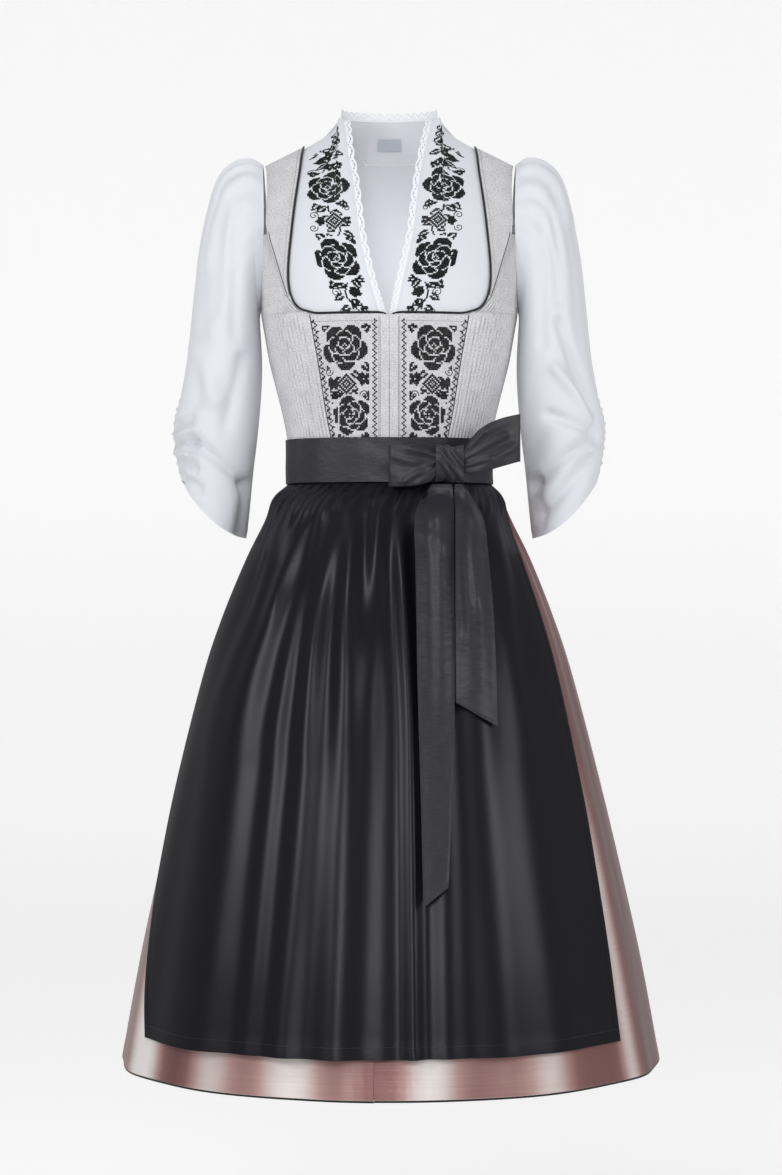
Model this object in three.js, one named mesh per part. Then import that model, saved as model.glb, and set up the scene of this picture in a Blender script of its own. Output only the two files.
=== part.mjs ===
// A three-piece folk costume set: dirndl dress, short blouse and apron, filled out with no wearer.
// Millimetres, +Z up, the front faces -Y, and +X is the viewer's right.
// The origin is the middle of the shoulders, where whatever carries the set holds it.
// Every piece is a wall of cloth: a point grid on the outside and the same grid moved in by the cloth.

import * as THREE from 'three';
import { mergeVertices } from 'three/addons/utils/BufferGeometryUtils.js';

// Cloth thicknesses
const BODICE_CLOTH = 2.0;
const BLOUSE_CLOTH = 1.2;
const SKIRT_CLOTH = 1.5;
const APRON_CLOTH = 1.2;
const BAND_CLOTH = 2.4;
const TIE_CLOTH = 1.6;
const LACE_CLOTH = 1.0;
const SEAM = 0.3;
const LAYER_GAP = 0.7;

// Driving heights
const BAND_TOP = -348;
const BAND_BOTTOM = -402;
const SKIRT_TOP = -378.6;
const SKIRT_HEM = -1112;
const APRON_HEM = -1066;

// A section of the body is a rounded oval of this power: 2 is an ellipse, more is squarer.
const OVAL = 2.3;

// Sections of the bodice's outer face from the waist to the shoulder seam, all in millimetres.
// neck is the front neckline or the embroidered panel's seam below it, seam is the front
// shoulder seam line towards the armhole, and arm is the armhole's edge, all from the middle.
const TORSO = [
  { height: -378, half: 124, front: 88, back: 88, neck: 67, seam: 67, arm: 124 },
  { height: -348, half: 125, front: 90, back: 88, neck: 71, seam: 71, arm: 125 },
  { height: -316, half: 131, front: 96, back: 89, neck: 77, seam: 77, arm: 131 },
  { height: -284, half: 139, front: 105, back: 91, neck: 82, seam: 82, arm: 139 },
  { height: -252, half: 147, front: 114, back: 94, neck: 87, seam: 87, arm: 147 },
  { height: -224, half: 152, front: 120, back: 98, neck: 92, seam: 92, arm: 152 },
  { height: -201, half: 156, front: 124, back: 100, neck: 96, seam: 96, arm: 156 },
  { height: -195, half: 157, front: 124, back: 101, neck: 109, seam: 109, arm: 157 },
  { height: -187, half: 157.5, front: 124, back: 102, neck: 117, seam: 117, arm: 157.4 },
  { height: -175, half: 158, front: 123, back: 103, neck: 122, seam: 126, arm: 156.7 },
  { height: -155, half: 160, front: 121, back: 105, neck: 125, seam: 133, arm: 155 },
  { height: -128, half: 163, front: 114, back: 106, neck: 124, seam: 141, arm: 153.9 },
  { height: -98, half: 166, front: 103, back: 105, neck: 121, seam: 149.5, arm: 152.2 },
  { height: -68, half: 169, front: 88, back: 99, neck: 118, seam: 151, arm: 151 },
  { height: -40, half: 171, front: 70, back: 88, neck: 114.5, seam: 150.5, arm: 150.5 },
  { height: -16, half: 172, front: 49, back: 70, neck: 111.5, seam: 151, arm: 151 },
  { height: 2, half: 171, front: 30, back: 48, neck: 110, seam: 152, arm: 152 },
  { height: 12, half: 170, front: 14, back: 24, neck: 108.5, seam: 153.5, arm: 153.5 },
  { height: 15, half: 170, front: 0, back: 0, neck: 108, seam: 154, arm: 154 },
];
const RIDGE = TORSO.length - 1;
const UNDERARM = 8;
const FRONT_NECK = 6;

// The line of the shoulders seen from the front: how far the ridge lies above the section's
// height at a distance from the middle, so that it runs up to the neck and down to the sleeve.
const SHOULDER_LINE = [
  { out: 0, rise: 40 },
  { out: 60, rise: 40 },
  { out: 66, rise: 31 },
  { out: 72, rise: 23 },
  { out: 82, rise: 15 },
  { out: 95, rise: 7 },
  { out: 108, rise: 0 },
  { out: 156, rise: -24 },
  { out: 180, rise: -36 },
];
// How much of that line each section follows, from none at the chest to all at the ridge.
const SHOULDER_SHARE = [0, 0, 0, 0, 0, 0, 0, 0, 0, 0, 0, 0, 0, 0.1, 0.25, 0.5, 0.75, 0.93, 1];

// The blouse's front edge and its back neck, from the middle, for the same sections.
const BLOUSE_EDGE = [
  0.6, 0.6, 0.6, 0.6, 0.6, 4, 9, 11, 13, 16, 21, 27, 33, 37, 41, 47, 51.5, 55, 60,
];
const BLOUSE_BACK_NECK = [
  30, 30, 30, 30, 30, 30, 30, 30, 30, 30, 30, 30, 30, 30, 30, 30, 55, 74, 85,
];
const BLOUSE_BOTTOM = 4;
const BLOUSE_BACK_TOP = 15;
// The open front of the blouse lies a little to the viewer's left.
const BLOUSE_SHIFT = -4;

// The bodice's back neck and the seams of its centre back panel, from the middle.
const BODICE_BACK_NECK = [
  38, 39, 41, 43, 45, 47, 49, 49.5, 50, 51, 53, 55, 58, 62, 84, 96, 103, 107, 108,
];
const BODICE_BACK_TOP = 13;

// Skirt sections: half width at the sides, depth to the front and to the back.
const SKIRT = [
  { height: -378.6, half: 123.4, front: 87.6, back: 87.6 },
  { height: -402, half: 123.8, front: 88.6, back: 88.6 },
  { height: -411, half: 131, front: 97, back: 99 },
  { height: -426, half: 140, front: 108, back: 116 },
  { height: -452, half: 152, front: 127, back: 139 },
  { height: -496, half: 174, front: 154, back: 170 },
  { height: -570, half: 204, front: 189, back: 207 },
  { height: -645, half: 228, front: 218, back: 236 },
  { height: -794, half: 265, front: 264, back: 278 },
  { height: -942, half: 298, front: 302, back: 312 },
  { height: -1017, half: 313, front: 319, back: 327 },
  { height: SKIRT_HEM, half: 330, front: 338, back: 346 },
];

// Large soft folds of the skirt, by their angle from the front and their share of a turn.
const SKIRT_FOLDS = [
  { at: -168, wide: 13, high: 13 },
  { at: -143, wide: 11, high: 15 },
  { at: -120, wide: 12, high: 11 },
  { at: -97, wide: 9, high: 8 },
  { at: -70, wide: 10, high: 6 },
  { at: -40, wide: 12, high: 4 },
  { at: 34, wide: 13, high: 5 },
  { at: 66, wide: 10, high: 8 },
  { at: 92, wide: 11, high: 9 },
  { at: 117, wide: 9, high: 13 },
  { at: 139, wide: 12, high: 12 },
  { at: 163, wide: 10, high: 15 },
];
const SKIRT_GATHERS = 40;

// Apron edges by height, as angles from the front towards each side.
const APRON_EDGES = [
  { height: -386, left: -97, right: 92 },
  { height: -402, left: -97, right: 90 },
  { height: -424, left: -96, right: 78 },
  { height: -476, left: -94, right: 66 },
  { height: -570, left: -92, right: 62.5 },
  { height: -719, left: -90, right: 61 },
  { height: -794, left: -87, right: 60.5 },
  { height: -868, left: -80, right: 59.5 },
  { height: -942, left: -72, right: 58.5 },
  { height: -1017, left: -67, right: 57.5 },
  { height: APRON_HEM, left: -63, right: 57 },
];
const APRON_GATHERS = 25;

// Large folds of the apron: place across the front at the waist, the middle and the hem,
// the height where the fold starts, its half width at the hem and how far it stands out.
const APRON_FOLDS = [
  { top: -112, middle: -205, hem: -250, start: -430, wide: 34, high: 8 },
  { top: -96, middle: -172, hem: -212, start: -430, wide: 30, high: 9 },
  { top: -78, middle: -128, hem: -158, start: -420, wide: 22, high: 10 },
  { top: -60, middle: -92, hem: -118, start: -415, wide: 26, high: 12 },
  { top: -38, middle: -50, hem: -62, start: -410, wide: 30, high: 12 },
  { top: -12, middle: 0, hem: -14, start: -410, wide: 20, high: 9 },
  { top: 10, middle: 24, hem: 27, start: -410, wide: 16, high: 11 },
  { top: 44, middle: 60, hem: 66, start: -420, wide: 26, high: 9 },
  { top: 72, middle: 104, hem: 128, start: -430, wide: 30, high: 8 },
  { top: 96, middle: 150, hem: 190, start: -440, wide: 32, high: 7 },
];

// Sleeve rings: the outer and the inner point of each, and half the depth from front to back.
const SLEEVE = [
  { outX: 157, outZ: -7.5, inX: 160.5, inZ: -188, deep: 48 },
  { outX: 172, outZ: -1, inX: 162, inZ: -196, deep: 52 },
  { outX: 192, outZ: -5, inX: 161.5, inZ: -207, deep: 55 },
  { outX: 211, outZ: -24, inX: 160.5, inZ: -221, deep: 57 },
  { outX: 225, outZ: -66, inX: 159.5, inZ: -237, deep: 57 },
  { outX: 236, outZ: -122, inX: 159, inZ: -256, deep: 56 },
  { outX: 243, outZ: -184, inX: 159.5, inZ: -280, deep: 55 },
  { outX: 249, outZ: -243, inX: 161.5, inZ: -310, deep: 54 },
  { outX: 257, outZ: -290, inX: 165, inZ: -346, deep: 53 },
  { outX: 266, outZ: -326, inX: 170, inZ: -388, deep: 52 },
  { outX: 264, outZ: -364, inX: 174, inZ: -430, deep: 50 },
  { outX: 257, outZ: -398, inX: 178, inZ: -469, deep: 48 },
];

const colour = {
  blouse: '#eceef3',
  bodice: '#cfcfcd',
  piping: '#1a1c20',
  skirt: '#a98a85',
  apron: '#232326',
  ties: '#3a3a3f',
  label: '#c9ccd2',
};

const group = new THREE.Group();

function add(name, geometry, clothColour, roughness = 0.7) {
  const material = new THREE.MeshStandardMaterial({ color: clothColour, roughness, metalness: 0 });
  const mesh = new THREE.Mesh(geometry, material);
  mesh.name = name;
  group.add(mesh);
}

const radians = THREE.MathUtils.degToRad;
const mix = THREE.MathUtils.lerp;

// Reads one column of a table at a place along its key column.
function along(table, key, column, place) {
  const rising = table[table.length - 1][key] > table[0][key];
  const passed = (row) => (rising ? row[key] <= place : row[key] >= place);
  let i = 0;
  while (i < table.length - 2 && passed(table[i + 1])) {
    i += 1;
  }
  const share = (place - table[i][key]) / (table[i + 1][key] - table[i][key]);
  return mix(table[i][column], table[i + 1][column], THREE.MathUtils.clamp(share, 0, 1));
}

// Reads a list of numbers at a place between two of its entries.
function between(list, place) {
  const i = Math.min(Math.floor(place), list.length - 2);
  return mix(list[i], list[i + 1], place - i);
}

// Makes a wall of cloth. point(u, v) gives the form for u and v from 0 to 1. The outer face
// lies lift(u, v) outside the form and the inner one the cloth's thickness inside that.
// keep(i, j) says which cells of the grid are cloth, and past names the edges where the form
// carries on beyond the piece, so that two pieces that meet there share one direction.
function wall({
  point, columns, rows, cloth, lift = 0, ring = false, keep = () => true, flip = false, past = [],
}) {
  const us = typeof columns === 'number' ? steps(columns, ring) : columns;
  const vs = typeof rows === 'number' ? steps(rows, false) : rows;
  const reach = 1e-3;
  const positions = [];
  const inward = [];
  const wrapped = (u) => (ring ? (u + 1) % 1 : u);
  for (const v of vs) {
    for (const u of us) {
      const here = point(u, v);
      const uBefore = ring || past.includes('u0') ? u - reach : Math.max(u - reach, 0);
      const uAfter = ring || past.includes('u1') ? u + reach : Math.min(u + reach, 1);
      const vBefore = Math.max(v - reach, 0);
      const vAfter = past.includes('v1') ? v + reach : Math.min(v + reach, 1);
      const acrossU = point(wrapped(uAfter), v).sub(point(wrapped(uBefore), v));
      const acrossV = point(u, vAfter).sub(point(u, vBefore));
      const normal = acrossU.cross(acrossV).normalize();
      if (flip) {
        normal.negate();
      }
      const raised = typeof lift === 'function' ? lift(u, v) : lift;
      const plain = typeof lift === 'function' && lift.plain !== undefined ? lift.plain : raised;
      positions.push(here.clone().addScaledVector(normal, raised));
      inward.push(here.clone().addScaledVector(normal, plain - cloth));
    }
  }
  const nu = us.length;
  const nv = vs.length;
  const index = [];
  const inner = positions.length;
  const at = (i, j) => j * nu + (ring ? i % nu : i);
  const cells = ring ? nu : nu - 1;
  const kept = (i, j) => {
    if (j < 0 || j >= nv - 1) {
      return false;
    }
    if (!ring && (i < 0 || i >= cells)) {
      return false;
    }
    return keep((i + cells) % cells, j);
  };
  const quad = (a, b, c, d) => {
    if (flip) {
      index.push(a, c, b, a, d, c);
    } else {
      index.push(a, b, c, a, c, d);
    }
  };
  for (let j = 0; j < nv - 1; j += 1) {
    for (let i = 0; i < cells; i += 1) {
      if (!kept(i, j)) {
        continue;
      }
      const [a, b, c, d] = [at(i, j), at(i + 1, j), at(i + 1, j + 1), at(i, j + 1)];
      quad(a, b, c, d);
      quad(inner + a, inner + d, inner + c, inner + b);
      if (!kept(i, j - 1)) {
        quad(b, a, inner + a, inner + b);
      }
      if (!kept(i, j + 1)) {
        quad(d, c, inner + c, inner + d);
      }
      if (!kept(i - 1, j)) {
        quad(a, d, inner + d, inner + a);
      }
      if (!kept(i + 1, j)) {
        quad(c, b, inner + b, inner + c);
      }
    }
  }
  const geometry = new THREE.BufferGeometry();
  const all = positions.concat(inward).flatMap((p) => [p.x, p.y, p.z]);
  geometry.setAttribute('position', new THREE.Float32BufferAttribute(all, 3));
  geometry.setIndex(index);
  return mergeVertices(geometry, 1e-4);
}

function steps(count, ring) {
  const list = [];
  for (let i = 0; i < (ring ? count : count + 1); i += 1) {
    list.push(i / count);
  }
  return list;
}

// The places of the sections from one row to another, as shares from 0 to 1.
function sectionSteps(first, last) {
  const list = [];
  for (let row = first; row <= last; row += 1) {
    list.push((row - first) / (last - first));
  }
  return list;
}

// One point of the torso's form: a distance out from the middle, a section's place and whether
// it is on the front or the back. Past the ridge it carries on down the other face.
function torso(out, place, back) {
  let section = place;
  let behind = back;
  if (section > RIDGE) {
    section = 2 * RIDGE - section;
    behind = !back;
  }
  const read = (key) => between(TORSO.map((row) => row[key]), section);
  const half = read('half');
  const depth = read(behind ? 'back' : 'front');
  const share = THREE.MathUtils.clamp(Math.abs(out) / half, 0, 1);
  const y = depth * (1 - share ** OVAL) ** (1 / OVAL);
  const rise = along(SHOULDER_LINE, 'out', 'rise', Math.abs(out)) * between(SHOULDER_SHARE, section);
  const parted = y + SEAM / 2;
  return new THREE.Vector3(out, behind ? parted : -parted, read('height') + rise);
}

// The same form by an angle from the front, for pieces that wrap round the sides.
function torsoAt(angle, place, back) {
  const half = between(TORSO.map((row) => row.half), place);
  const out = half * Math.sign(Math.sin(angle)) * Math.abs(Math.sin(angle)) ** (2 / OVAL);
  return torso(out, place, back);
}

// The angle at which a section reaches a distance from the middle.
function angleOf(out, place) {
  const half = between(TORSO.map((row) => row.half), place);
  return Math.asin(THREE.MathUtils.clamp((out / half) ** (OVAL / 2), 0, 1));
}

// A panel of the torso between two edges, each given for every section as a distance out.
function torsoPanel({ inner, outer, first, last, side, back, columns, cloth, lift, keep }) {
  const point = (u, v) => {
    const place = mix(first, last, v);
    const from = angleOf(Math.max(inner(place), 0), place);
    const to = angleOf(outer(place), place);
    const angle = mix(from, to, u);
    return torsoAt(side * angle, place, back);
  };
  const flip = back ? side > 0 : side < 0;
  const past = last === RIDGE ? ['u0', 'v1'] : ['u0'];
  return wall({ point, columns, rows: sectionSteps(first, last), cloth, lift, keep, flip, past });
}

// Ribs: cords stitched into the outer face, over a plain inside.
function ribs(count, height, base = 0) {
  const lift = (u) => base + height * Math.abs(Math.sin(Math.PI * count * u)) ** 0.7;
  lift.plain = base;
  return lift;
}

const column = (key) => (place) => between(TORSO.map((row) => row[key]), place);
const sideEdge = (place) => (place <= UNDERARM ? column('half')(place) : column('arm')(place));

// Bodice: centre fronts with the embroidered panels, ribbed side fronts, shoulder parts
// and a back of three panels.
const SIDE_RIBS = 7;
const SIDES = [['left', -1], ['right', 1]];
for (const [name, side] of SIDES) {
  add(`bodice_centre_front_${name}`, torsoPanel({
    inner: () => 0.35,
    outer: (place) => column('neck')(place) - SEAM,
    first: 0,
    last: FRONT_NECK,
    side,
    back: false,
    columns: 6,
    cloth: BODICE_CLOTH,
    lift: 0,
  }), colour.bodice);
  add(`bodice_side_front_${name}`, torsoPanel({
    inner: column('seam'),
    outer: sideEdge,
    first: 0,
    last: 12,
    side,
    back: false,
    columns: 2 * SIDE_RIBS,
    cloth: BODICE_CLOTH,
    lift: ribs(SIDE_RIBS, 0.8),
  }), colour.bodice);
  add(`bodice_shoulder_${name}`, torsoPanel({
    inner: column('neck'),
    outer: (place) => (place > 12.5 ? column('arm')(place) : column('seam')(place) - SEAM),
    first: 9,
    last: RIDGE,
    side,
    back: false,
    columns: 3,
    cloth: BODICE_CLOTH,
    lift: 0,
  }), colour.bodice);
  add(`bodice_side_back_${name}`, torsoPanel({
    inner: (place) => between(BODICE_BACK_NECK, place) + SEAM,
    outer: sideEdge,
    first: 0,
    last: RIDGE,
    side,
    back: true,
    columns: 6,
    cloth: BODICE_CLOTH,
    lift: 0,
  }), colour.bodice);
}
add('bodice_centre_back', wall({
  point: (u, v) => {
    const place = mix(0, BODICE_BACK_TOP, v);
    return torso(mix(1, -1, u) * between(BODICE_BACK_NECK, place), place, true);
  },
  columns: 6,
  rows: sectionSteps(0, BODICE_BACK_TOP),
  cloth: BODICE_CLOTH,
}), colour.bodice);

// A cord or piping: a tube of a few sides along a line of points.
function cord(points, radius, stepCount) {
  const outline = new THREE.Shape();
  const sides = 5;
  for (let i = 0; i < sides; i += 1) {
    const angle = (i / sides) * 2 * Math.PI;
    const method = i === 0 ? 'moveTo' : 'lineTo';
    outline[method](radius * Math.cos(angle), radius * Math.sin(angle));
  }
  outline.closePath();
  const path = new THREE.CatmullRomCurve3(points, false, 'centripetal');
  const geometry = new THREE.ExtrudeGeometry(outline, { steps: stepCount, extrudePath: path });
  geometry.deleteAttribute('normal');
  geometry.deleteAttribute('uv');
  return mergeVertices(geometry, 1e-4);
}

// Neckline piping of each side: down the shoulder part, round the corner and to the middle.
const PIPING = 1.3;
for (const [name, side] of SIDES) {
  const line = [];
  for (let place = RIDGE - 0.05; place > FRONT_NECK; place -= place > 10 ? 0.5 : 0.34) {
    const edge = column('neck')(place) - PIPING - 0.7;
    const spot = torso(side * edge, place, false);
    line.push(spot.add(new THREE.Vector3(0, 0.4, place < 9 ? 1.6 : 0)));
  }
  for (let out = 92; out >= 6; out -= 8) {
    const spot = torso(side * out, FRONT_NECK, false);
    line.push(spot.add(new THREE.Vector3(0, 0.4, PIPING + 0.7)));
  }
  add(`neckline_piping_${name}`, cord(line, PIPING, 34), colour.piping);
}

// Blouse: two fronts that meet below the bodice's top, a back, a stand collar and two sleeves.
const UNDER_BODICE = -(BODICE_CLOTH + LAYER_GAP);
const BACK_LIFT = UNDER_BODICE - 0.7;
const blouseEdge = (place, side) => {
  const edge = between(BLOUSE_EDGE, place);
  const open = THREE.MathUtils.clamp(edge / 20, 0, 1) * (place > 15 ? (RIDGE - place) / 3 : 1);
  return edge + side * open * BLOUSE_SHIFT;
};
for (const [name, side] of SIDES) {
  add(`blouse_front_${name}`, torsoPanel({
    inner: (place) => blouseEdge(place, side),
    outer: sideEdge,
    first: BLOUSE_BOTTOM,
    last: RIDGE,
    side,
    back: false,
    columns: 6,
    cloth: BLOUSE_CLOTH,
    lift: UNDER_BODICE,
  }), colour.blouse);
}

// The blouse's back is one piece with a notch for the neck: its outer columns climb to the
// shoulders and its inner ones stop at the neck.
const BACK_SIDE_COLUMNS = 5;
const BACK_NECK_COLUMNS = 4;
const backColumns = BACK_SIDE_COLUMNS * 2 + BACK_NECK_COLUMNS;
add('blouse_back', wall({
  point: (u, v) => {
    const place = mix(BLOUSE_BOTTOM, RIDGE, v);
    const count = u * backColumns;
    const fromMiddle = Math.abs(count - backColumns / 2);
    const side = count < backColumns / 2 ? 1 : -1;
    const neck = angleOf(between(BLOUSE_BACK_NECK, place), place);
    const edge = angleOf(sideEdge(place), place);
    const inside = BACK_NECK_COLUMNS / 2;
    const angle = fromMiddle <= inside
      ? neck * (fromMiddle / inside)
      : mix(neck, edge, (fromMiddle - inside) / BACK_SIDE_COLUMNS);
    return torsoAt(side * angle, place, true);
  },
  columns: backColumns,
  rows: sectionSteps(BLOUSE_BOTTOM, RIDGE),
  cloth: BLOUSE_CLOTH,
  lift: BACK_LIFT,
  past: ['v1'],
  keep: (i, j) => j < BLOUSE_BACK_TOP - BLOUSE_BOTTOM
    || i < BACK_SIDE_COLUMNS
    || i >= BACK_SIDE_COLUMNS + BACK_NECK_COLUMNS,
}), colour.blouse);

// Collar: it stands round the back of the neck from one shoulder seam to the other.
const COLLAR_HALF = 60;
const COLLAR_DEPTH = 57;
const COLLAR_TOP = 52.5;
const COLLAR_GAP = new THREE.Vector3(0, 0.4, 0.45);
const LACE_WIDTH = 8;
// The line where the back of the blouse ends at the neck, on the blouse's outer face.
const neckBase = (turn) => {
  const reach = Math.abs(turn) * 4;
  const place = reach < 1 ? BLOUSE_BACK_TOP : BLOUSE_BACK_TOP + reach - 1;
  const edge = reach < 1 ? 30 * reach : between(BLOUSE_BACK_NECK, place);
  const out = edge * Math.sign(turn);
  const acrossBack = torso(out - 0.5, place, true).sub(torso(out + 0.5, place, true));
  const upBack = torso(out, place + 0.05, true).sub(torso(out, place - 0.05, true));
  const normal = acrossBack.cross(upBack).normalize();
  return torso(out, place, true).addScaledVector(normal, BACK_LIFT).add(COLLAR_GAP);
};
const collarTop = (turn) => {
  const angle = turn * Math.PI / 2;
  const y = COLLAR_DEPTH * Math.cos(angle) + 1;
  return new THREE.Vector3(COLLAR_HALF * Math.sin(angle), y, COLLAR_TOP + 3 * Math.cos(angle));
};
add('collar', wall({
  point: (u, v) => {
    const turn = mix(1, -1, u);
    return neckBase(turn).lerp(collarTop(turn), v);
  },
  columns: 16,
  rows: 2,
  cloth: BLOUSE_CLOTH,
}), colour.blouse);

// Lace edging: a narrow scalloped strip along the open front and the top of the collar.
const SCALLOPS = 16;
const scallop = (u) => 0.72 + 0.28 * Math.abs(Math.sin(Math.PI * SCALLOPS * u));
// A point beside the blouse's front edge, straight between two sections as the front itself is.
function besideFront(side, place, away) {
  const below = Math.min(Math.floor(place), RIDGE - 1);
  const [from, to] = [below, below + 1].map((row) => (
    torso(side * (blouseEdge(row, side) - away), row, false)
  ));
  return from.lerp(to, place - below);
}
for (const [name, side] of SIDES) {
  add(`lace_front_${name}`, wall({
    point: (u, v) => (
      besideFront(side, mix(FRONT_NECK, RIDGE - 1, u), SEAM + v * scallop(u) * LACE_WIDTH)
    ),
    columns: 2 * SCALLOPS,
    rows: 1,
    cloth: LACE_CLOTH,
    lift: UNDER_BODICE,
    flip: side < 0,
  }), colour.blouse);
}
add('lace_back', wall({
  point: (u, v) => {
    const spot = collarTop(mix(1, -1, u));
    spot.z += SEAM + v * scallop(u) * (LACE_WIDTH + 3);
    return spot;
  },
  columns: 2 * SCALLOPS,
  rows: 1,
  cloth: LACE_CLOTH,
}), colour.blouse);

// Blank woven label inside the back of the neck.
const LABEL = { width: 26, height: 15, drop: 22 };
add('neck_label', wall({
  point: (u, v) => {
    const out = mix(0.5, -0.5, u) * LABEL.width;
    const below = mix(LABEL.height + LABEL.drop, LABEL.drop, v);
    const turn = out / 95;
    const base = neckBase(turn);
    const top = collarTop(turn);
    const share = 1 - below / base.distanceTo(top);
    const spot = base.lerp(top, share);
    spot.y -= BLOUSE_CLOTH + 0.5;
    return spot;
  },
  columns: 4,
  rows: 1,
  cloth: 1,
}), colour.label);

// Sleeves: puffed, gathered at the head, ending in a slanting hem that is drawn up outside.
const SLEEVE_COLUMNS = 26;
const HEAD_SHARE = [0, 1, 0.9, 0.6, 0.3, 0.1, 0, 0, 0, 0, 0, 0];
function sleevePoint(side, u, v) {
  const row = v * (SLEEVE.length - 1);
  const read = (key) => between(SLEEVE.map((ring) => ring[key]), row);
  const angle = u * 2 * Math.PI;
  const across = (1 + Math.cos(angle)) / 2;
  const x = mix(read('inX'), read('outX'), across);
  const z = mix(read('inZ'), read('outZ'), across);
  const turned = Math.sin(angle);
  const sag = 14 * turned * turned * THREE.MathUtils.smoothstep(row, 8, 11);
  const hug = row < 1 ? (1 - row) * 4.5 * turned * turned : 0;
  return new THREE.Vector3(side * (x - hug), -read('deep') * turned, z - sag);
}
for (const [name, side] of SIDES) {
  const gather = (u, v) => {
    const row = v * (SLEEVE.length - 1);
    const top = Math.max(Math.cos(u * 2 * Math.PI) + 0.35, 0);
    return 2.4 * between(HEAD_SHARE, row) * top * Math.cos(Math.PI * SLEEVE_COLUMNS * u);
  };
  add(`sleeve_${name}`, wall({
    point: (u, v) => sleevePoint(side, u, v),
    columns: SLEEVE_COLUMNS,
    rows: SLEEVE.length - 1,
    cloth: BLOUSE_CLOTH,
    lift: gather,
    ring: true,
    flip: side > 0,
  }), colour.blouse);
}

// Skirt: three panels with soft folds, small gathers at the waist and piping along the hem.
const SKIRT_OVAL = [
  { height: -402, power: 2.3 },
  { height: -500, power: 2.1 },
  { height: -700, power: 2.0 },
];
const smooth = THREE.MathUtils.smoothstep;
function skirtWave(degrees, height) {
  let wave = 0;
  for (const fold of SKIRT_FOLDS) {
    const away = ((degrees - fold.at + 540) % 360) - 180;
    wave += fold.high * Math.exp(-((away / fold.wide) ** 2));
  }
  const drop = smooth(-height, 430, -SKIRT_HEM);
  const hidden = smooth(Math.abs(degrees), 30, 80);
  const small = smooth(-height, 400, 425) * (1 - smooth(-height, 430, 620));
  return (wave - 4) * drop + 2.2 * hidden * small * Math.cos(radians(degrees * SKIRT_GATHERS));
}
function skirtForm(degrees, height, outwards = 0) {
  const angle = radians(degrees);
  const half = along(SKIRT, 'height', 'half', height);
  const depth = along(SKIRT, 'height', Math.cos(angle) > 0 ? 'front' : 'back', height);
  const power = 2 / along(SKIRT_OVAL, 'height', 'power', height);
  const [s, c] = [Math.sin(angle), Math.cos(angle)];
  const far = skirtWave(degrees, height) + outwards;
  const x = half * Math.sign(s) * Math.abs(s) ** power + far * s;
  const y = depth * Math.sign(c) * Math.abs(c) ** power + far * c;
  return new THREE.Vector3(x, -y, height);
}
// The left front laps over the right one: how far its edge is raised there.
function lapShare(degrees, height) {
  return smooth(degrees, -17, -9) * smooth(-height, 402, 430);
}
const SKIRT_PANELS = [
  { name: 'skirt_front_left', from: -89.93, to: -3.2, under: 0, columns: 17, lap: 2.6 },
  { name: 'skirt_front_right', from: -2.7, to: 89.93, under: 5.3, columns: 18, lap: 0 },
  { name: 'skirt_back', from: 90.02, to: 269.98, under: 0, columns: 32, lap: 0 },
];
const skirtRows = SKIRT.map((row) => (row.height - SKIRT_TOP) / (SKIRT_HEM - SKIRT_TOP));
for (const panel of SKIRT_PANELS) {
  add(panel.name, wall({
    point: (u, v) => {
      const height = mix(SKIRT_TOP, SKIRT_HEM, v);
      const under = panel.under * smooth(-height, 426, 496);
      const degrees = mix(panel.from - under, panel.to, u);
      return skirtForm(degrees, height, panel.lap * lapShare(degrees, height));
    },
    columns: panel.columns,
    rows: skirtRows,
    cloth: SKIRT_CLOTH,
    flip: true,
  }), colour.skirt, 0.45);
}
const hemLine = [];
for (let degrees = -3; degrees > -363; degrees -= 5) {
  const lap = degrees > -17 ? 2.6 * lapShare(degrees, SKIRT_HEM) : 0;
  hemLine.push(skirtForm(degrees, SKIRT_HEM, lap - 0.7).setZ(SKIRT_HEM - 1.5));
}
add('skirt_hem_piping', cord(hemLine, 1.1, 60), colour.piping);

// Apron: gathered to the band, with its large folds standing out from the skirt.
const APRON_SHARES = [
  -386, -402, -414, -432, -464, -520, -590, -680, -790, -920, APRON_HEM,
].map((height) => (height + 386) / (APRON_HEM + 386));
function apronHeight(v) {
  return mix(-386, APRON_HEM, v);
}
function apronWave(x, u, height) {
  let wave = 0;
  for (const fold of APRON_FOLDS) {
    const upper = mix(fold.top, fold.middle, smooth(-height, 402, 740));
    const centre = height > -740 ? upper : mix(fold.middle, fold.hem, (-740 - height) / 326);
    const grown = smooth(-height, -fold.start, -fold.start + 130);
    const wide = mix(9, fold.wide, smooth(-height, 402, 900));
    wave += fold.high * grown * Math.exp(-(((x - centre) / wide) ** 2));
  }
  const small = smooth(-height, 398, 416) * (1 - smooth(-height, 425, 560));
  return wave + 2.2 * small * (1 + Math.cos(2 * Math.PI * APRON_GATHERS * u));
}
function apronForm(u, v) {
  const height = apronHeight(v);
  const left = along(APRON_EDGES, 'height', 'left', height);
  const right = along(APRON_EDGES, 'height', 'right', height);
  const degrees = mix(left, right, u);
  const flat = skirtForm(degrees, height);
  const lap = degrees > 0 ? 0 : lapShare(degrees, height);
  const clear = APRON_CLOTH + 0.7 + 2.2 * smooth(-height, 402, 425) + 2.6 * lap;
  return skirtForm(degrees, height, clear + apronWave(flat.x, u, height));
}
add('apron_panel', wall({
  point: apronForm,
  columns: 2 * APRON_GATHERS,
  rows: APRON_SHARES,
  cloth: APRON_CLOTH,
  flip: true,
}), colour.apron, 0.35);

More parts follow.
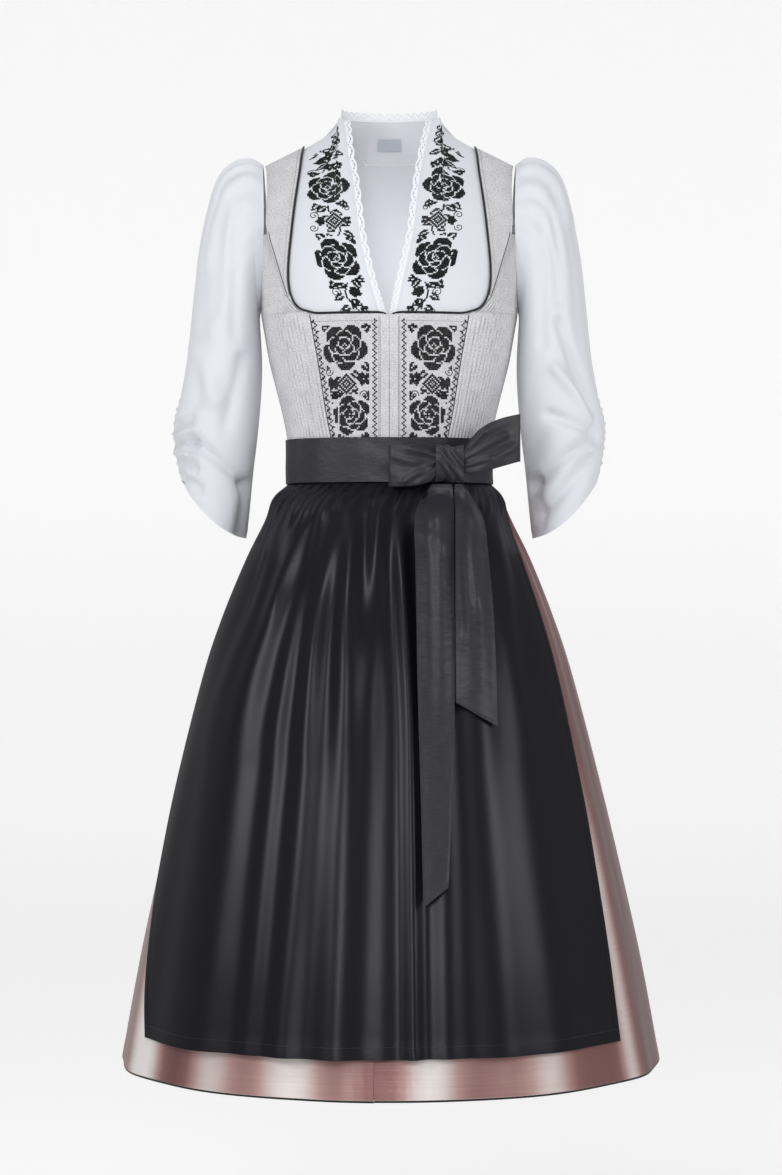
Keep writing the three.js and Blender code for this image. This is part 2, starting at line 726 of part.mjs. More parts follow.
// Apron band: once round the waist over the bodice, the skirt's top and the apron's gathers.
const BAND_FORM = { half: 126.6, front: 91.8, back: 90.8 };
function bandPoint(degrees, height) {
  const angle = radians(degrees);
  const [s, c] = [Math.sin(angle), Math.cos(angle)];
  const power = 2 / OVAL;
  const depth = c > 0 ? BAND_FORM.front : BAND_FORM.back;
  const x = BAND_FORM.half * Math.sign(s) * Math.abs(s) ** power;
  return new THREE.Vector3(x, -depth * Math.sign(c) * Math.abs(c) ** power, height);
}
add('apron_band', wall({
  point: (u, v) => bandPoint(u * 360, mix(BAND_TOP, BAND_BOTTOM, v)),
  columns: 42,
  rows: 2,
  cloth: BAND_CLOTH,
  lift: BAND_CLOTH,
  ring: true,
  flip: true,
}), colour.ties, 0.5);

// Bow at the viewer's right of the front: the knot is a short tube of ribbon round the roots of
// two loops, and the two ends hang below it over the apron.
const KNOT = { x: 73, y: -98.9, z: -380, long: 34, tall: 44, deep: 21 };
add('bow_knot', wall({
  point: (u, v) => {
    const angle = u * 2 * Math.PI;
    const pinch = 1 - 0.12 * Math.sin(Math.PI * v);
    return new THREE.Vector3(
      KNOT.x + mix(-0.5, 0.5, v) * KNOT.long,
      KNOT.y - Math.sin(angle) * pinch * KNOT.deep / 2,
      KNOT.z + Math.cos(angle) * pinch * KNOT.tall / 2,
    );
  },
  columns: 14,
  rows: 3,
  cloth: TIE_CLOTH,
  ring: true,
}), colour.ties, 0.5);

// Loop sections from the knot to the folded end: place across, top and bottom edge, the middle
// of the two layers and how far each layer stands from it.
const LOOPS = {
  bow_loop_left: [
    { x: 61, top: -371, bottom: -388, y: -99, apart: 2.6 },
    { x: 50, top: -365, bottom: -401, y: -103, apart: 5.5 },
    { x: 36, top: -361, bottom: -406, y: -106, apart: 7.5 },
    { x: 16, top: -359, bottom: -408, y: -107, apart: 7 },
    { x: 2, top: -358.5, bottom: -408, y: -107, apart: 4.5 },
    { x: -1, top: -358.5, bottom: -408, y: -107, apart: 0 },
  ],
  bow_loop_right: [
    { x: 86, top: -371, bottom: -389, y: -99, apart: 2.8 },
    { x: 98, top: -351, bottom: -392, y: -100.5, apart: 6 },
    { x: 113, top: -336, bottom: -390, y: -99, apart: 8.5 },
    { x: 134, top: -326, bottom: -384, y: -94, apart: 8 },
    { x: 155, top: -320.5, bottom: -378, y: -88, apart: 4.5 },
    { x: 159, top: -320, bottom: -377.5, y: -86.5, apart: 0 },
  ],
};
for (const [name, sections] of Object.entries(LOOPS)) {
  const last = sections.length - 1;
  const shares = steps(2 * last, false);
  add(name, wall({
    point: (u, v) => {
      const place = last * (1 - Math.abs(1 - 2 * u));
      const read = (key) => between(sections.map((row) => row[key]), place);
      const face = u < 0.5 ? -1 : 1;
      const crease = 1.4 * Math.sin(3 * Math.PI * v) * (1 - place / last);
      const y = read('y') + face * read('apart') + crease * face;
      return new THREE.Vector3(read('x'), y, mix(read('top'), read('bottom'), v));
    },
    columns: shares,
    rows: 4,
    cloth: TIE_CLOTH,
    flip: name === 'bow_loop_right',
  }), colour.ties, 0.5);
}

// Hanging ends: left and right edge by height, and the slanting cut at the bottom.
const TAILS = {
  bow_tail_long: {
    cut: 22,
    edges: [
      { height: -405, left: 58, right: 76, ahead: 0 },
      { height: -428, left: 40, right: 77.5, ahead: 27 },
      { height: -452, left: 30, right: 77.5, ahead: 27 },
      { height: -500, left: 31, right: 77, ahead: 26 },
      { height: -570, left: 32, right: 77, ahead: 23 },
      { height: -645, left: 33, right: 76.5, ahead: 21 },
      { height: -719, left: 35, right: 75, ahead: 20 },
      { height: -794, left: 37, right: 72, ahead: 19 },
      { height: -874, left: 39, right: 68, ahead: 19 },
    ],
  },
  bow_tail_short: {
    cut: -28,
    edges: [
      { height: -405, left: 79, right: 89, ahead: 0 },
      { height: -428, left: 79, right: 104, ahead: 24 },
      { height: -452, left: 79, right: 114, ahead: 28 },
      { height: -500, left: 78.5, right: 119, ahead: 27 },
      { height: -570, left: 78, right: 124, ahead: 24 },
      { height: -645, left: 77.8, right: 126, ahead: 21 },
      { height: -664, left: 77.8, right: 126.5, ahead: 21 },
    ],
  },
};
// How far the skirt's front reaches at a place across it.
function frontReach(x, height) {
  const half = along(SKIRT, 'height', 'half', height);
  const depth = along(SKIRT, 'height', 'front', height);
  const power = along(SKIRT_OVAL, 'height', 'power', height);
  return depth * (1 - Math.abs(x / half) ** power) ** (1 / power);
}
for (const [name, tail] of Object.entries(TAILS)) {
  const last = tail.edges.length - 1;
  add(name, wall({
    point: (u, v) => {
      const place = v * last;
      const read = (key) => between(tail.edges.map((row) => row[key]), place);
      const slant = Math.max(v * last - (last - 1), 0);
      const level = read('height') - slant * Math.abs(tail.cut) * (tail.cut > 0 ? 1 - u : u);
      const x = mix(read('left'), read('right'), u);
      const lying = -(frontReach(x, level) + read('ahead'));
      const hung = smooth(-level, 404, 452);
      const fold = 3 * Math.cos(3 * Math.PI * u) * (1 - smooth(-level, 430, 760));
      const y = mix(KNOT.y, lying, hung) - fold * hung;
      return new THREE.Vector3(x, y, level);
    },
    columns: 6,
    rows: last,
    cloth: TIE_CLOTH,
    flip: true,
  }), colour.ties, 0.5);
}

export default group;
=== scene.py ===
# A folk costume set, filled out as if it were worn: a dirndl of bodice and skirt, a short white
# blouse, and a satin apron whose band ties in a bow. Tables and grids of points are in
# millimetres, the scene and the settings of nodes in metres.
import math
import bpy
import numpy as np
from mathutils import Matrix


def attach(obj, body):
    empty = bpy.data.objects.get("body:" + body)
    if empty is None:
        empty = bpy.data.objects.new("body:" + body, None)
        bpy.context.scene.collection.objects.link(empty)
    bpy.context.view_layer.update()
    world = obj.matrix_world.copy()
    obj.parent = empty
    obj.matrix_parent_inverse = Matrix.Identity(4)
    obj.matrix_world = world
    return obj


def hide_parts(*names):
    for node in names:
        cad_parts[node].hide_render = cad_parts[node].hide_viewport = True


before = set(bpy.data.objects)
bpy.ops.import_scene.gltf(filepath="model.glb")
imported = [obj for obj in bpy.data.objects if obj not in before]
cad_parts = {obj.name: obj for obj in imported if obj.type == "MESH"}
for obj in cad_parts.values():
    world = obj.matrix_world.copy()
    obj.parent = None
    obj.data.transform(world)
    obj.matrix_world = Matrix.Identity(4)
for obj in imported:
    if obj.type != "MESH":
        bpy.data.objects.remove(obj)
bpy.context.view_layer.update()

# Bodice. Mottled light grey cotton, cut as centre fronts, ribbed side fronts, shoulder parts,
# side backs and a centre back, sewn edge to edge and drawn close round the body by hooks.
OVAL = 2.3
TORSO_COLUMNS = "height half front back neck seam arm edge back_neck share blouse_neck".split()
TORSO = np.array([
    # height, half width, depth in front and behind, then distances out from the middle of the
    # bodice's neck, side seam and armhole, of the blouse's edge and of the bodice's back neck,
    # the share of the shoulder's slope, and the distance out of the blouse's back neck
    (-378, 124, 88, 88, 67, 67, 124, 0.6, 38, 0, 30),
    (-348, 125, 90, 88, 71, 71, 125, 0.6, 39, 0, 30),
    (-316, 131, 96, 89, 77, 77, 131, 0.6, 41, 0, 30),
    (-284, 139, 105, 91, 82, 82, 139, 0.6, 43, 0, 30),
    (-252, 147, 114, 94, 87, 87, 147, 0.6, 45, 0, 30),
    (-224, 152, 120, 98, 92, 92, 152, 4, 47, 0, 30),
    (-201, 156, 124, 100, 96, 96, 156, 9, 49, 0, 30),
    (-195, 157, 124, 101, 109, 109, 157, 11, 49.5, 0, 30),
    (-187, 157.5, 124, 102, 117, 117, 157.4, 13, 50, 0, 30),
    (-175, 158, 123, 103, 122, 126, 156.7, 16, 51, 0, 30),
    (-155, 160, 121, 105, 125, 133, 155, 21, 53, 0, 30),
    (-128, 163, 114, 106, 124, 141, 153.9, 27, 55, 0, 30),
    (-98, 166, 103, 105, 121, 149.5, 152.2, 33, 58, 0, 30),
    (-68, 169, 88, 99, 118, 151, 151, 37, 62, 0.1, 30),
    (-40, 171, 70, 88, 114.5, 150.5, 150.5, 41, 84, 0.25, 30),
    (-16, 172, 49, 70, 111.5, 151, 151, 47, 96, 0.5, 30),
    (2, 171, 30, 48, 110, 152, 152, 51.5, 103, 0.75, 55),
    (12, 170, 14, 24, 108.5, 153.5, 153.5, 55, 107, 0.93, 74),
    (15, 170, 0, 0, 108, 154, 154, 60, 108, 1, 85),
], float)
# Rows of the table where parts begin and end, up to the ridge of the shoulder.
BLOUSE_HEM_ROW, NECK_ROW, UNDERARM, SHOULDER_ROW, SIDE_ROW = 4, 6, 8, 9, 12
BACK_NECK_ROW, BLOUSE_NECK_ROW, RIDGE = 13, 15, len(TORSO) - 1
# Half the gap of the side seams.
SIDE_GAP = 0.15
# How far the ridge of the shoulder stands over its row, at distances out from the middle.
SHOULDER_OUT = np.array([0, 60, 66, 72, 82, 95, 108, 156, 180], float)
SHOULDER_RISE = np.array([40, 40, 31, 23, 15, 7, 0, -24, -36], float)


def blend(a, b, share):
    return a + (b - a) * share


def ease(value, low, high):
    t = np.clip((value - low) / (high - low), 0, 1)
    return t * t * (3 - 2 * t)


def bell(away, wide):
    return np.exp(-(away / wide) ** 2)


def unit(vectors):
    return vectors / np.maximum(np.linalg.norm(vectors, axis=-1, keepdims=True), 1e-9)


def curve_through(values, place):
    """A smooth line through a column of a table, at places between its rows."""
    values = np.asarray(values, float)
    place = np.clip(np.asarray(place, float), 0, len(values) - 1)
    i = np.clip(np.floor(place).astype(int), 0, len(values) - 2)
    t = place - i
    a, b, c, d = (values[np.clip(i + k, 0, len(values) - 1)] for k in (-1, 0, 1, 2))
    return b + 0.5 * t * (c - a + t * (2 * a - 5 * b + 4 * c - d + t * (3 * (b - c) + d - a)))


# Past the ridge the table runs back down the other face, so that the shoulder is rounded.
mirrored = {
    name: np.concatenate([TORSO[:, i], TORSO[-2:-4:-1, i]]) for i, name in enumerate(TORSO_COLUMNS)
}
mirrored["front"][-2:] = -TORSO[-2:-4:-1, 3]
mirrored["back"][-2:] = -TORSO[-2:-4:-1, 2]
dense = np.linspace(0, len(SHOULDER_OUT) - 1, 300)
shoulder_out = curve_through(SHOULDER_OUT, dense)
shoulder_rise = curve_through(SHOULDER_RISE, dense)


def column(name, corner=0):
    """Reads a column smoothly, on each side of the row where an edge turns a corner."""
    values = mirrored[name]

    def read(place):
        upper = curve_through(values[corner:], np.asarray(place, float) - corner)
        lower = curve_through(values[:corner + 1], place) if corner else upper
        return np.where(np.asarray(place) >= corner, upper, lower)

    return read


def torso(out, place, back=False):
    """Points of the body's form in millimetres, at a distance out from the middle."""
    out, place = np.broadcast_arrays(np.asarray(out, float), np.asarray(place, float))
    near = np.clip(np.abs(out) / column("half")(place), 0, 1)
    depth = column("back" if back else "front")(place)
    y = depth * (1 - near**OVAL) ** (1 / OVAL) + SIDE_GAP
    rise = np.interp(np.abs(out), shoulder_out, shoulder_rise) * column("share")(place)
    return np.stack([out, y if back else -y, column("height")(place) + rise], -1)


def angle_of(out, place):
    near = np.clip(out / column("half")(place), 0, 1)
    return np.arcsin(near ** (OVAL / 2))


def out_at(angle, place):
    return column("half")(place) * np.sin(angle) ** (2 / OVAL)


def torso_panel(inner, outer, first, last, side, back, columns, rows):
    """A grid between two edges and two rows, with one row more where it ends at the ridge."""
    place = np.linspace(first, last, rows)
    if last == RIDGE:
        place = np.append(place, RIDGE + (last - first) / (rows - 1))
    place = place[:, None]
    along = np.linspace(0, 1, columns)[None, :]
    angle = blend(angle_of(inner(place), place), angle_of(outer(place), place), along)
    return torso(side * out_at(angle, place), place, back)


def normals(grid, ring=False, flip=False):
    if ring:
        across = np.roll(grid, -1, 1) - np.roll(grid, 1, 1)
    else:
        across = np.gradient(grid, axis=1)
    normal = unit(np.cross(across, np.gradient(grid, axis=0)))
    return -normal if flip else normal


def new_object(name, points, faces):
    """One mesh from points in millimetres, as an object of the scene."""
    mesh = bpy.data.meshes.new(name)
    mesh.from_pydata((points.reshape(-1, 3) * 0.001).tolist(), [], faces)
    made = bpy.data.objects.new(name, mesh)
    bpy.context.scene.collection.objects.link(made)
    return made


def cloth(name, grid, thick, lift=0.0, ring=False, flip=False, keep=None, plain=None, past=0):
    """A wall of cloth on a grid of points, with its rim closed and a map of its threads. Its face
    is raised by lift and its back by plain, keep leaves holes, and the last rows, as many as past
    says, lie beyond the piece and only give its edge a direction."""
    normal = normals(grid, ring, flip)
    if past:
        grid, normal = grid[:-past], normal[:-past]
    rows, columns = grid.shape[:2]
    lift = np.broadcast_to(np.asarray(lift, float), (rows, columns))
    plain = lift if plain is None else np.broadcast_to(float(plain), (rows, columns))
    outer = grid + normal * lift[..., None]
    inner = grid + normal * (plain - thick)[..., None]
    points = np.concatenate([outer.reshape(-1, 3), inner.reshape(-1, 3)])
    cells = columns if ring else columns - 1
    kept = np.ones((rows - 1, cells), bool) if keep is None else keep
    # Corners of cells are numbered row by row, those of the back after those of the face. A ring's
    # last corner in a row has a number of its own, since its place on the map is another.
    j, i = np.nonzero(kept)
    width = cells + 1
    under = rows * width
    a = j * width + i
    b, c, d = a + 1, a + 1 + width, a + width
    walls = [np.stack([a, b, c, d], 1), under + np.stack([a, d, c, b], 1)]
    around = np.zeros((rows + 1, cells + 2), bool)
    around[1:rows, 1:cells + 1] = kept
    if ring:
        around[:, 0], around[:, -1] = around[:, -2], around[:, 1]
    for dj, di, one, two in ((-1, 0, b, a), (1, 0, d, c), (0, -1, a, d), (0, 1, c, b)):
        bare = ~around[j + 1 + dj, i + 1 + di]
        one, two = one[bare], two[bare]
        walls.append(np.stack([one, two, under + two, under + one], 1))
    corners = np.concatenate(walls)
    if flip:
        corners = corners[:, ::-1]
    row, col = corners // width, corners % width
    used, faces = np.unique(row * columns + col % columns, return_inverse=True)
    made = new_object(name, points[used], faces.reshape(-1, 4).tolist())
    step_u = np.linalg.norm(np.diff(grid, axis=1), axis=2).mean(0)
    step_v = np.linalg.norm(np.diff(grid, axis=0), axis=2).mean(1)
    along_u, along_v = (np.concatenate([[0], np.cumsum(step)]) for step in (step_u, step_v))
    if ring:
        along_u = np.append(along_u, along_u[-1] + step_u.mean())
    spots = np.stack([along_u[col], along_v[row % rows]], -1) * 0.001
    layer = made.data.uv_layers.new(name="cloth")
    layer.data.foreach_set("uv", spots.reshape(-1).astype(np.float32))
    made.data.shade_smooth()
    made.data.set_sharp_from_angle(angle=math.radians(50))
    return made


def threads(name, starts, ends, normal, width, height):
    """Many short threads as one mesh: each is a prism of three sides lying on the cloth."""
    half = unit(np.cross(normal, ends - starts)) * width / 2
    top = normal * height
    points = np.stack(
        [starts - half, starts + half, starts + top, ends - half, ends + half, ends + top], 1)
    base = (np.arange(len(starts)) * 6)[:, None]
    sides = np.concatenate([base + [0, 3, 5, 2], base + [1, 2, 5, 4], base + [0, 1, 4, 3]])
    caps = np.concatenate([base + [0, 2, 1], base + [3, 4, 5]])
    return new_object(name, points, sides.tolist() + caps.tolist())


def linear(colour):
    """Turns a sRGB hex colour into the linear colour that a socket takes."""
    parts = [int(colour[i:i + 2], 16) / 255 for i in (1, 3, 5)]
    return [p / 12.92 if p <= 0.04045 else ((p + 0.055) / 1.055) ** 2.4 for p in parts] + [1]


def add_node(tree, kind, links=None, stops=(), **settings):
    """Adds a node with its settings, links or sets its sockets and lays the stops of a ramp."""
    made = tree.nodes.new(kind)
    for key, value in settings.items():
        setattr(made, key, value)
    for key, value in (links or {}).items():
        if isinstance(value, bpy.types.NodeSocket):
            tree.links.new(value, made.inputs[key])
        elif value is not None:
            made.inputs[key].default_value = value
    for k, (spot, colour) in enumerate(stops):
        element = made.color_ramp.elements[k] if k < 2 else made.color_ramp.elements.new(spot)
        element.position, element.color = spot, linear(colour)
    return made


def new_material(name, colour, roughness, sheen=0.0, metallic=0.0, specular=0.5):
    """A finish of one shader. Its colour is None where nodes are going to give it."""
    material = bpy.data.materials.new(name)
    material.use_nodes = True
    values = {"Roughness": roughness, "Metallic": metallic, "Specular IOR Level": specular,
              "Sheen Weight": sheen, "Sheen Roughness": 0.4}
    if colour:
        values["Base Color"] = linear(colour)
    for key, value in values.items():
        material.node_tree.nodes["Principled BSDF"].inputs[key].default_value = value
    return material


def opened(material):
    """The node tree of a finish, the sockets of its shader and the map of its cloth."""
    tree = material.node_tree
    cloth_map = add_node(tree, "ShaderNodeUVMap", uv_map="cloth").outputs["UV"]
    return tree, tree.nodes["Principled BSDF"].inputs, cloth_map


def weave_bump(tree, vector, thread, strength, distance, under=None):
    """Crossing threads of a plain weave, drawn a thread spacing apart in millimetres."""
    scale = 1000 / thread / 2
    waves = [
        add_node(tree, "ShaderNodeTexWave", {"Vector": vector, "Scale": scale / 3.14},
                 wave_type="BANDS", bands_direction=way, wave_profile="SIN").outputs["Fac"]
        for way in ("X", "Y")
    ]
    both = add_node(tree, "ShaderNodeMath", {0: waves[0], 1: waves[1]}, operation="ADD").outputs[0]
    bump = add_node(tree, "ShaderNodeBump", {
        "Height": both, "Strength": strength, "Distance": distance, "Normal": under})
    return bump.outputs["Normal"]


def piece(made, material, slot, *nodes):
    """Gives a piece its finish, hangs it from the root and hides the solids that it stands for."""
    made.data.materials.append(material)
    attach(made, "root")
    if nodes:
        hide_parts(*nodes)


def sewn(node, grid, sort, **wall):
    """A cloth named for the solid that it stands for, of a sort: thickness, finish and slot."""
    thick, finish, slot = sort
    made = cloth(f"{node}_cloth", grid, thick, **wall)
    piece(made, finish, slot, node)
    return made


# Slubbed cotton of a melange yarn: matt and dry to the eye, mottled by pale flecks that are a few
# threads wide, with the weave itself just to be seen.
bodice_cotton = new_material("grey_melange_cotton", None, 0.82, sheen=0.15, specular=0.3)
tree, inputs, cloth_map = opened(bodice_cotton)
fine_map = add_node(tree, "ShaderNodeMapping", {"Vector": cloth_map, "Scale": (1, 1.8, 1)})
flecks = add_node(tree, "ShaderNodeTexNoise", {
    "Vector": fine_map.outputs["Vector"], "Scale": 420, "Detail": 3, "Roughness": 0.65})
clouds = add_node(tree, "ShaderNodeTexNoise", {"Vector": cloth_map, "Scale": 45, "Detail": 2})
mixed = add_node(tree, "ShaderNodeMath", {0: flecks.outputs["Fac"], 1: 0.8}, operation="MULTIPLY")
mixed = add_node(tree, "ShaderNodeMath", {
    0: clouds.outputs["Fac"], 1: 0.2, 2: mixed.outputs[0]}, operation="MULTIPLY_ADD")
tint = add_node(tree, "ShaderNodeValToRGB", {"Fac": mixed.outputs[0]}, [
    (0.34, "#a09fa3"), (0.66, "#d6d5d7"), (0.5, "#c2c1c4")])
tree.links.new(tint.outputs["Color"], inputs["Base Color"])
tree.links.new(weave_bump(tree, cloth_map, 0.8, 0.25, 0.0004), inputs["Normal"])

BODICE_CLOTH = 2.0
BODICE_SORT = BODICE_CLOTH, bodice_cotton, "bodice_cloth"
SEAM = 0.3
# Cords of each side front, how high they stand, and how far they bend and close up in a fan.
CORDS, RIB_HEIGHT, FAN_BEND, FAN_CLOSE = 24, 1.5, 7, 0.25
# The placket beside the closing: its stitched edge, and the groove along its middle.
PLACKET_EDGE, PLACKET_GROOVE = 10.4, 5.2
SIDES = [("left", -1), ("right", 1)]
neck_line = column("neck", NECK_ROW)
seam_line = column("seam", NECK_ROW)
arm_line = column("arm", UNDERARM)
back_neck = column("back_neck", BACK_NECK_ROW)


def side_edge(place):
    return np.where(np.asarray(place) <= UNDERARM, column("half")(place), arm_line(place))


def surface(side, out, place, lift, back=False):
    """Points lifted off the torso's form along its direction there, and that direction."""
    spot = torso(side * out, place, back)
    across = torso(side * (out + 0.5), place, back) - torso(side * (out - 0.5), place, back)
    upward = torso(side * out, place + 0.05, back) - torso(side * out, place - 0.05, back)
    normal = unit(np.cross(across, upward)) * side * (-1 if back else 1)
    return spot + normal * lift, normal


rows_dense = np.linspace(0, RIDGE, 2000)
heights_dense = column("height")(rows_dense)


def place_at(height):
    return np.interp(height, heights_dense, rows_dense)


for name, side in SIDES:
    grid = torso_panel(
        lambda p: 0.35 + 0 * p, lambda p: neck_line(p) - SEAM, 0, NECK_ROW, side, False, 80, 50)
    out = np.abs(grid[..., 0])
    placket = 0.9 * (1 - ease(out, PLACKET_EDGE, 12)) - 0.7 * bell(out - PLACKET_GROOVE, 1)
    made = sewn(f"bodice_centre_front_{name}", grid, BODICE_SORT,
                lift=placket, plain=0, flip=side < 0)

    grid = torso_panel(seam_line, side_edge, 0, SIDE_ROW, side, False, 160, 76)
    u = np.linspace(0, 1, 160)[None, :]
    v = np.linspace(0, 1, 76)[:, None]
    # The cords stand close and upright beside the front seam, and lean more towards the side.
    fan = u * CORDS * (1 - FAN_CLOSE * v) - (1 - v) * FAN_BEND * u * u
    cords = np.abs(np.sin(np.pi * fan)) ** 0.6
    made = sewn(f"bodice_side_front_{name}", grid, BODICE_SORT,
                lift=RIB_HEIGHT * cords, plain=0, flip=side < 0)

    grid = torso_panel(
        neck_line, lambda p: np.where(p > SIDE_ROW + 0.5, arm_line(p), seam_line(p) - SEAM),
        SHOULDER_ROW, RIDGE, side, False, 20, 60)
    made = sewn(f"bodice_shoulder_{name}", grid, BODICE_SORT, flip=side < 0, past=1)

    grid = torso_panel(lambda p: back_neck(p) + SEAM, side_edge, 0, RIDGE, side, True, 50, 84)
    made = sewn(f"bodice_side_back_{name}", grid, BODICE_SORT, flip=side > 0, past=1)

place = np.linspace(0, BACK_NECK_ROW, 60)[:, None]
grid = torso(np.linspace(1, -1, 40)[None, :] * back_neck(place), place, True)
made = sewn("bodice_centre_back", grid, BODICE_SORT)

# Seam cords and stitching. A dark fine cord lies in each seam of the bodice, doubled where the
# shoulder part meets the front, and black back stitches run down between the side cords: stitching,
# made black to paint the shade in the grooves as well.

# Cord covered in black cotton: a dull, soft round line with a faint bloom of fibres at its rim.
piping_cotton = new_material("black_cotton_cord", "#0a0a0d", 0.6, sheen=0.3)
# Stranded cotton that has lost its twist: flat black, so that a motif reads as one even shape.
# It also blackens the stitches between the side cords, which are stitching and painted shade of the
# grooves.
stitch_cotton = new_material("black_stranded_cotton", "#0a0b0d", 0.6, sheen=0.05, specular=0.25)
# Sewing thread a little darker than its cloth: a fine broken line, seen only from near by.
seam_thread = new_material("grey_sewing_thread", "#4c4d54", 0.6, sheen=0.2)


def round_turns(count):
    return np.arange(count) * 2 * np.pi / count


def tube(name, points, radius, sides=8):
    """A round cord of closed mesh along a line of points."""
    points = np.asarray(points, float)
    ahead = unit(np.gradient(points, axis=0))
    across = unit(np.cross(ahead, (0, 0, 1)) + np.cross(ahead, (0, 1, 0)) * 0.01)[:, None]
    above = np.cross(ahead[:, None], across)
    turn = round_turns(sides)[None, :, None]
    spots = points[:, None] + radius * (np.cos(turn) * across + np.sin(turn) * above)
    base = np.arange(len(points) * sides).reshape(-1, sides)
    ahead_of = np.roll(base, -1, 1)
    walls = np.stack([base[:-1], ahead_of[:-1], ahead_of[1:], base[1:]], -1).reshape(-1, 4)
    made = new_object(name, spots, walls.tolist() + [base[0, ::-1].tolist(), base[-1].tolist()])
    made.data.shade_smooth()
    return made


def lengths(points):
    """How far along a line each of its points lies."""
    return np.concatenate([[0], np.cumsum(np.linalg.norm(np.diff(points, axis=0), axis=1))])


def stitches(lines, gap, length):
    """Starts, ends and directions of stitches along lines of surface points."""
    starts, ends, ways = [], [], []
    for spots, normal in lines:
        far = lengths(spots)
        begin = np.arange(0.6, far[-1] - length, gap)
        for first, second, target in ((begin, begin, starts), (begin + length, begin, ends)):
            target.append(np.stack([np.interp(first, far, spots[:, k]) for k in range(3)], 1))
        ways.append(np.stack([np.interp(begin, far, normal[:, k]) for k in range(3)], 1))
    return np.concatenate(starts), np.concatenate(ends), np.concatenate(ways)


for name, side in SIDES:
    line = []
    for place in (*np.linspace(RIDGE - 0.05, 10, 60), *np.linspace(9.8, NECK_ROW + 0.15, 40)):
        spot = torso(side * (neck_line(place) - 2), place)
        line.append(spot + (0, 0.4, 1.6 if place < 9 else 0))
    for out in np.linspace(92, 4, 50):
        line.append(torso(side * out, NECK_ROW) + (0, 0.4, 2.0))
    # The cord is eased round the corner of the neckline and turned down where it ends.
    line = np.array(line)
    for _ in range(12):
        line[1:-1] = (line[:-2] + 2 * line[1:-1] + line[2:]) / 4
    line[-8:, 2] -= 0.05 * np.arange(8) ** 2
    made = tube(f"neckline_piping_{name}_cord", line, 1.3)
    piece(made, piping_cotton, "piping", f"neckline_piping_{name}")

    # Finer cords in the seams: two beside the shoulder part's seam, one beside the side front.
    place = np.linspace(9.05, 12.1, 60)
    for k, away in enumerate((0.9, -2.6)):
        spots, _ = surface(side, seam_line(place) + away, place, 0.35)
        piece(tube(f"shoulder_seam_cord_{k}_{name}", spots, 0.45, 6), piping_cotton, "piping")
    place = np.linspace(0.1, NECK_ROW - 0.05, 60)
    spots, _ = surface(side, neck_line(place) - SEAM / 2, place, 0.45)
    piece(tube(f"front_seam_cord_{name}", spots, 0.5, 6), piping_cotton, "piping")

    # Black stitches down the grooves between the cords: stitching, and painted shade of the
    # grooves.
    lines = []
    for k in range(1, CORDS):
        v = np.linspace(0.01, 0.99, 90)
        place = SIDE_ROW * v
        # Solves the fan of cords for its place across the panel, in a few steps.
        u = np.full_like(v, k / CORDS)
        for _ in range(6):
            u = (k + (1 - v) * FAN_BEND * u * u) / (CORDS * (1 - FAN_CLOSE * v))
        good = u < 0.97
        if good.sum() < 6:
            continue
        inner, outer = angle_of(seam_line(place), place), angle_of(side_edge(place), place)
        out = out_at(blend(inner, outer, np.clip(u, 0, 1)), place)
        spots, ways = surface(side, out, place, 0.12)
        lines.append((spots[good], ways[good]))
    made = threads(f"groove_stitching_and_shade_{name}", *stitches(lines, 2.4, 1.9), 0.75, 0.35)
    piece(made, stitch_cotton, "piping")

    # Top stitching on both sides of the placket's edge, below the neckline and up the shoulder.
    lines = []
    for out, lift in ((12.6, 0.1), (10.9, 0.95)):
        lines.append(surface(side, out, np.linspace(0.05, NECK_ROW - 0.05, 60), lift))
    lines.append(surface(side, np.linspace(4, 92, 60), NECK_ROW - 0.42 + np.zeros(60), 0.3))
    place = np.linspace(9.3, RIDGE - 0.3, 80)
    lines.append(surface(side, neck_line(place) + 3.2, place, 0.1))
    made = threads(f"edge_topstitching_{name}", *stitches(lines, 3.0, 2.1), 0.4, 0.25)
    piece(made, seam_thread, "bodice_cloth")

# Embroidery. Counted cross stitch in black stranded cotton, worked before the pieces are sewn.
# Each centre front has two roses, a lozenge between them, leaves, small blossoms and curls, and
# a zigzag border up each side.

# Size of a cross and how much of its cell it fills, and its thread's width and height.
CROSS, CROSS_REACH = 1.9, 0.45
THREAD_WIDTH, THREAD_HEIGHT = 1.05, 0.36
# Where the front's chart begins: distance out from the middle, and height.
PANEL_EDGE, PANEL_TOP = 12.9, -205
ROSE_ROUNDS = [
    # petals, distance out and size as shares of the rose, turn
    (5, 0.58, 0.46, 0.0), (5, 0.36, 0.37, 0.63), (3, 0.16, 0.26, 0.2), (1, 0.0, 0.12, 0.0),
]


def rose(chart, row, col, radius, turned):
    """A full-blown rose: rounds of solid petals, each parted from the last by an open line."""
    j, i = np.indices(chart.shape)
    chart[np.hypot(j - row, i - col) < radius * 1.1] = False
    for count, far, wide, start in ROSE_ROUNDS:
        for k in range(count):
            angle = turned + start + k * 2 * np.pi / count
            across = i - col - radius * far * math.cos(angle)
            away = np.hypot(j - row - radius * far * math.sin(angle), across)
            chart[away < radius * wide] = True
            chart[np.abs(away - radius * wide) < 0.4] = False


def leaf(chart, row, col, length, width, turned):
    """A lens with a bare midrib."""
    j, i = np.indices(chart.shape)
    along = (i - col) * math.cos(turned) + (j - row) * math.sin(turned)
    across = (j - row) * math.cos(turned) - (i - col) * math.sin(turned)
    swell = np.sin(np.pi * np.clip(along / length, 0, 1) ** 0.8)
    body = (along > 0) & (along < length) & (np.abs(across) < width * swell)
    chart |= body & ((np.abs(across) > 0.5) | (along > 0.75 * length))


def wreath(chart, row, col, radius, turned):
    """Small leaves that stand out all round a rose."""
    for k in range(7):
        angle = turned + k * 2 * np.pi / 7
        spot = row + 0.95 * radius * math.sin(angle), col + 0.95 * radius * math.cos(angle)
        leaf(chart, *spot, 7.5, 2.2, angle + 0.5)


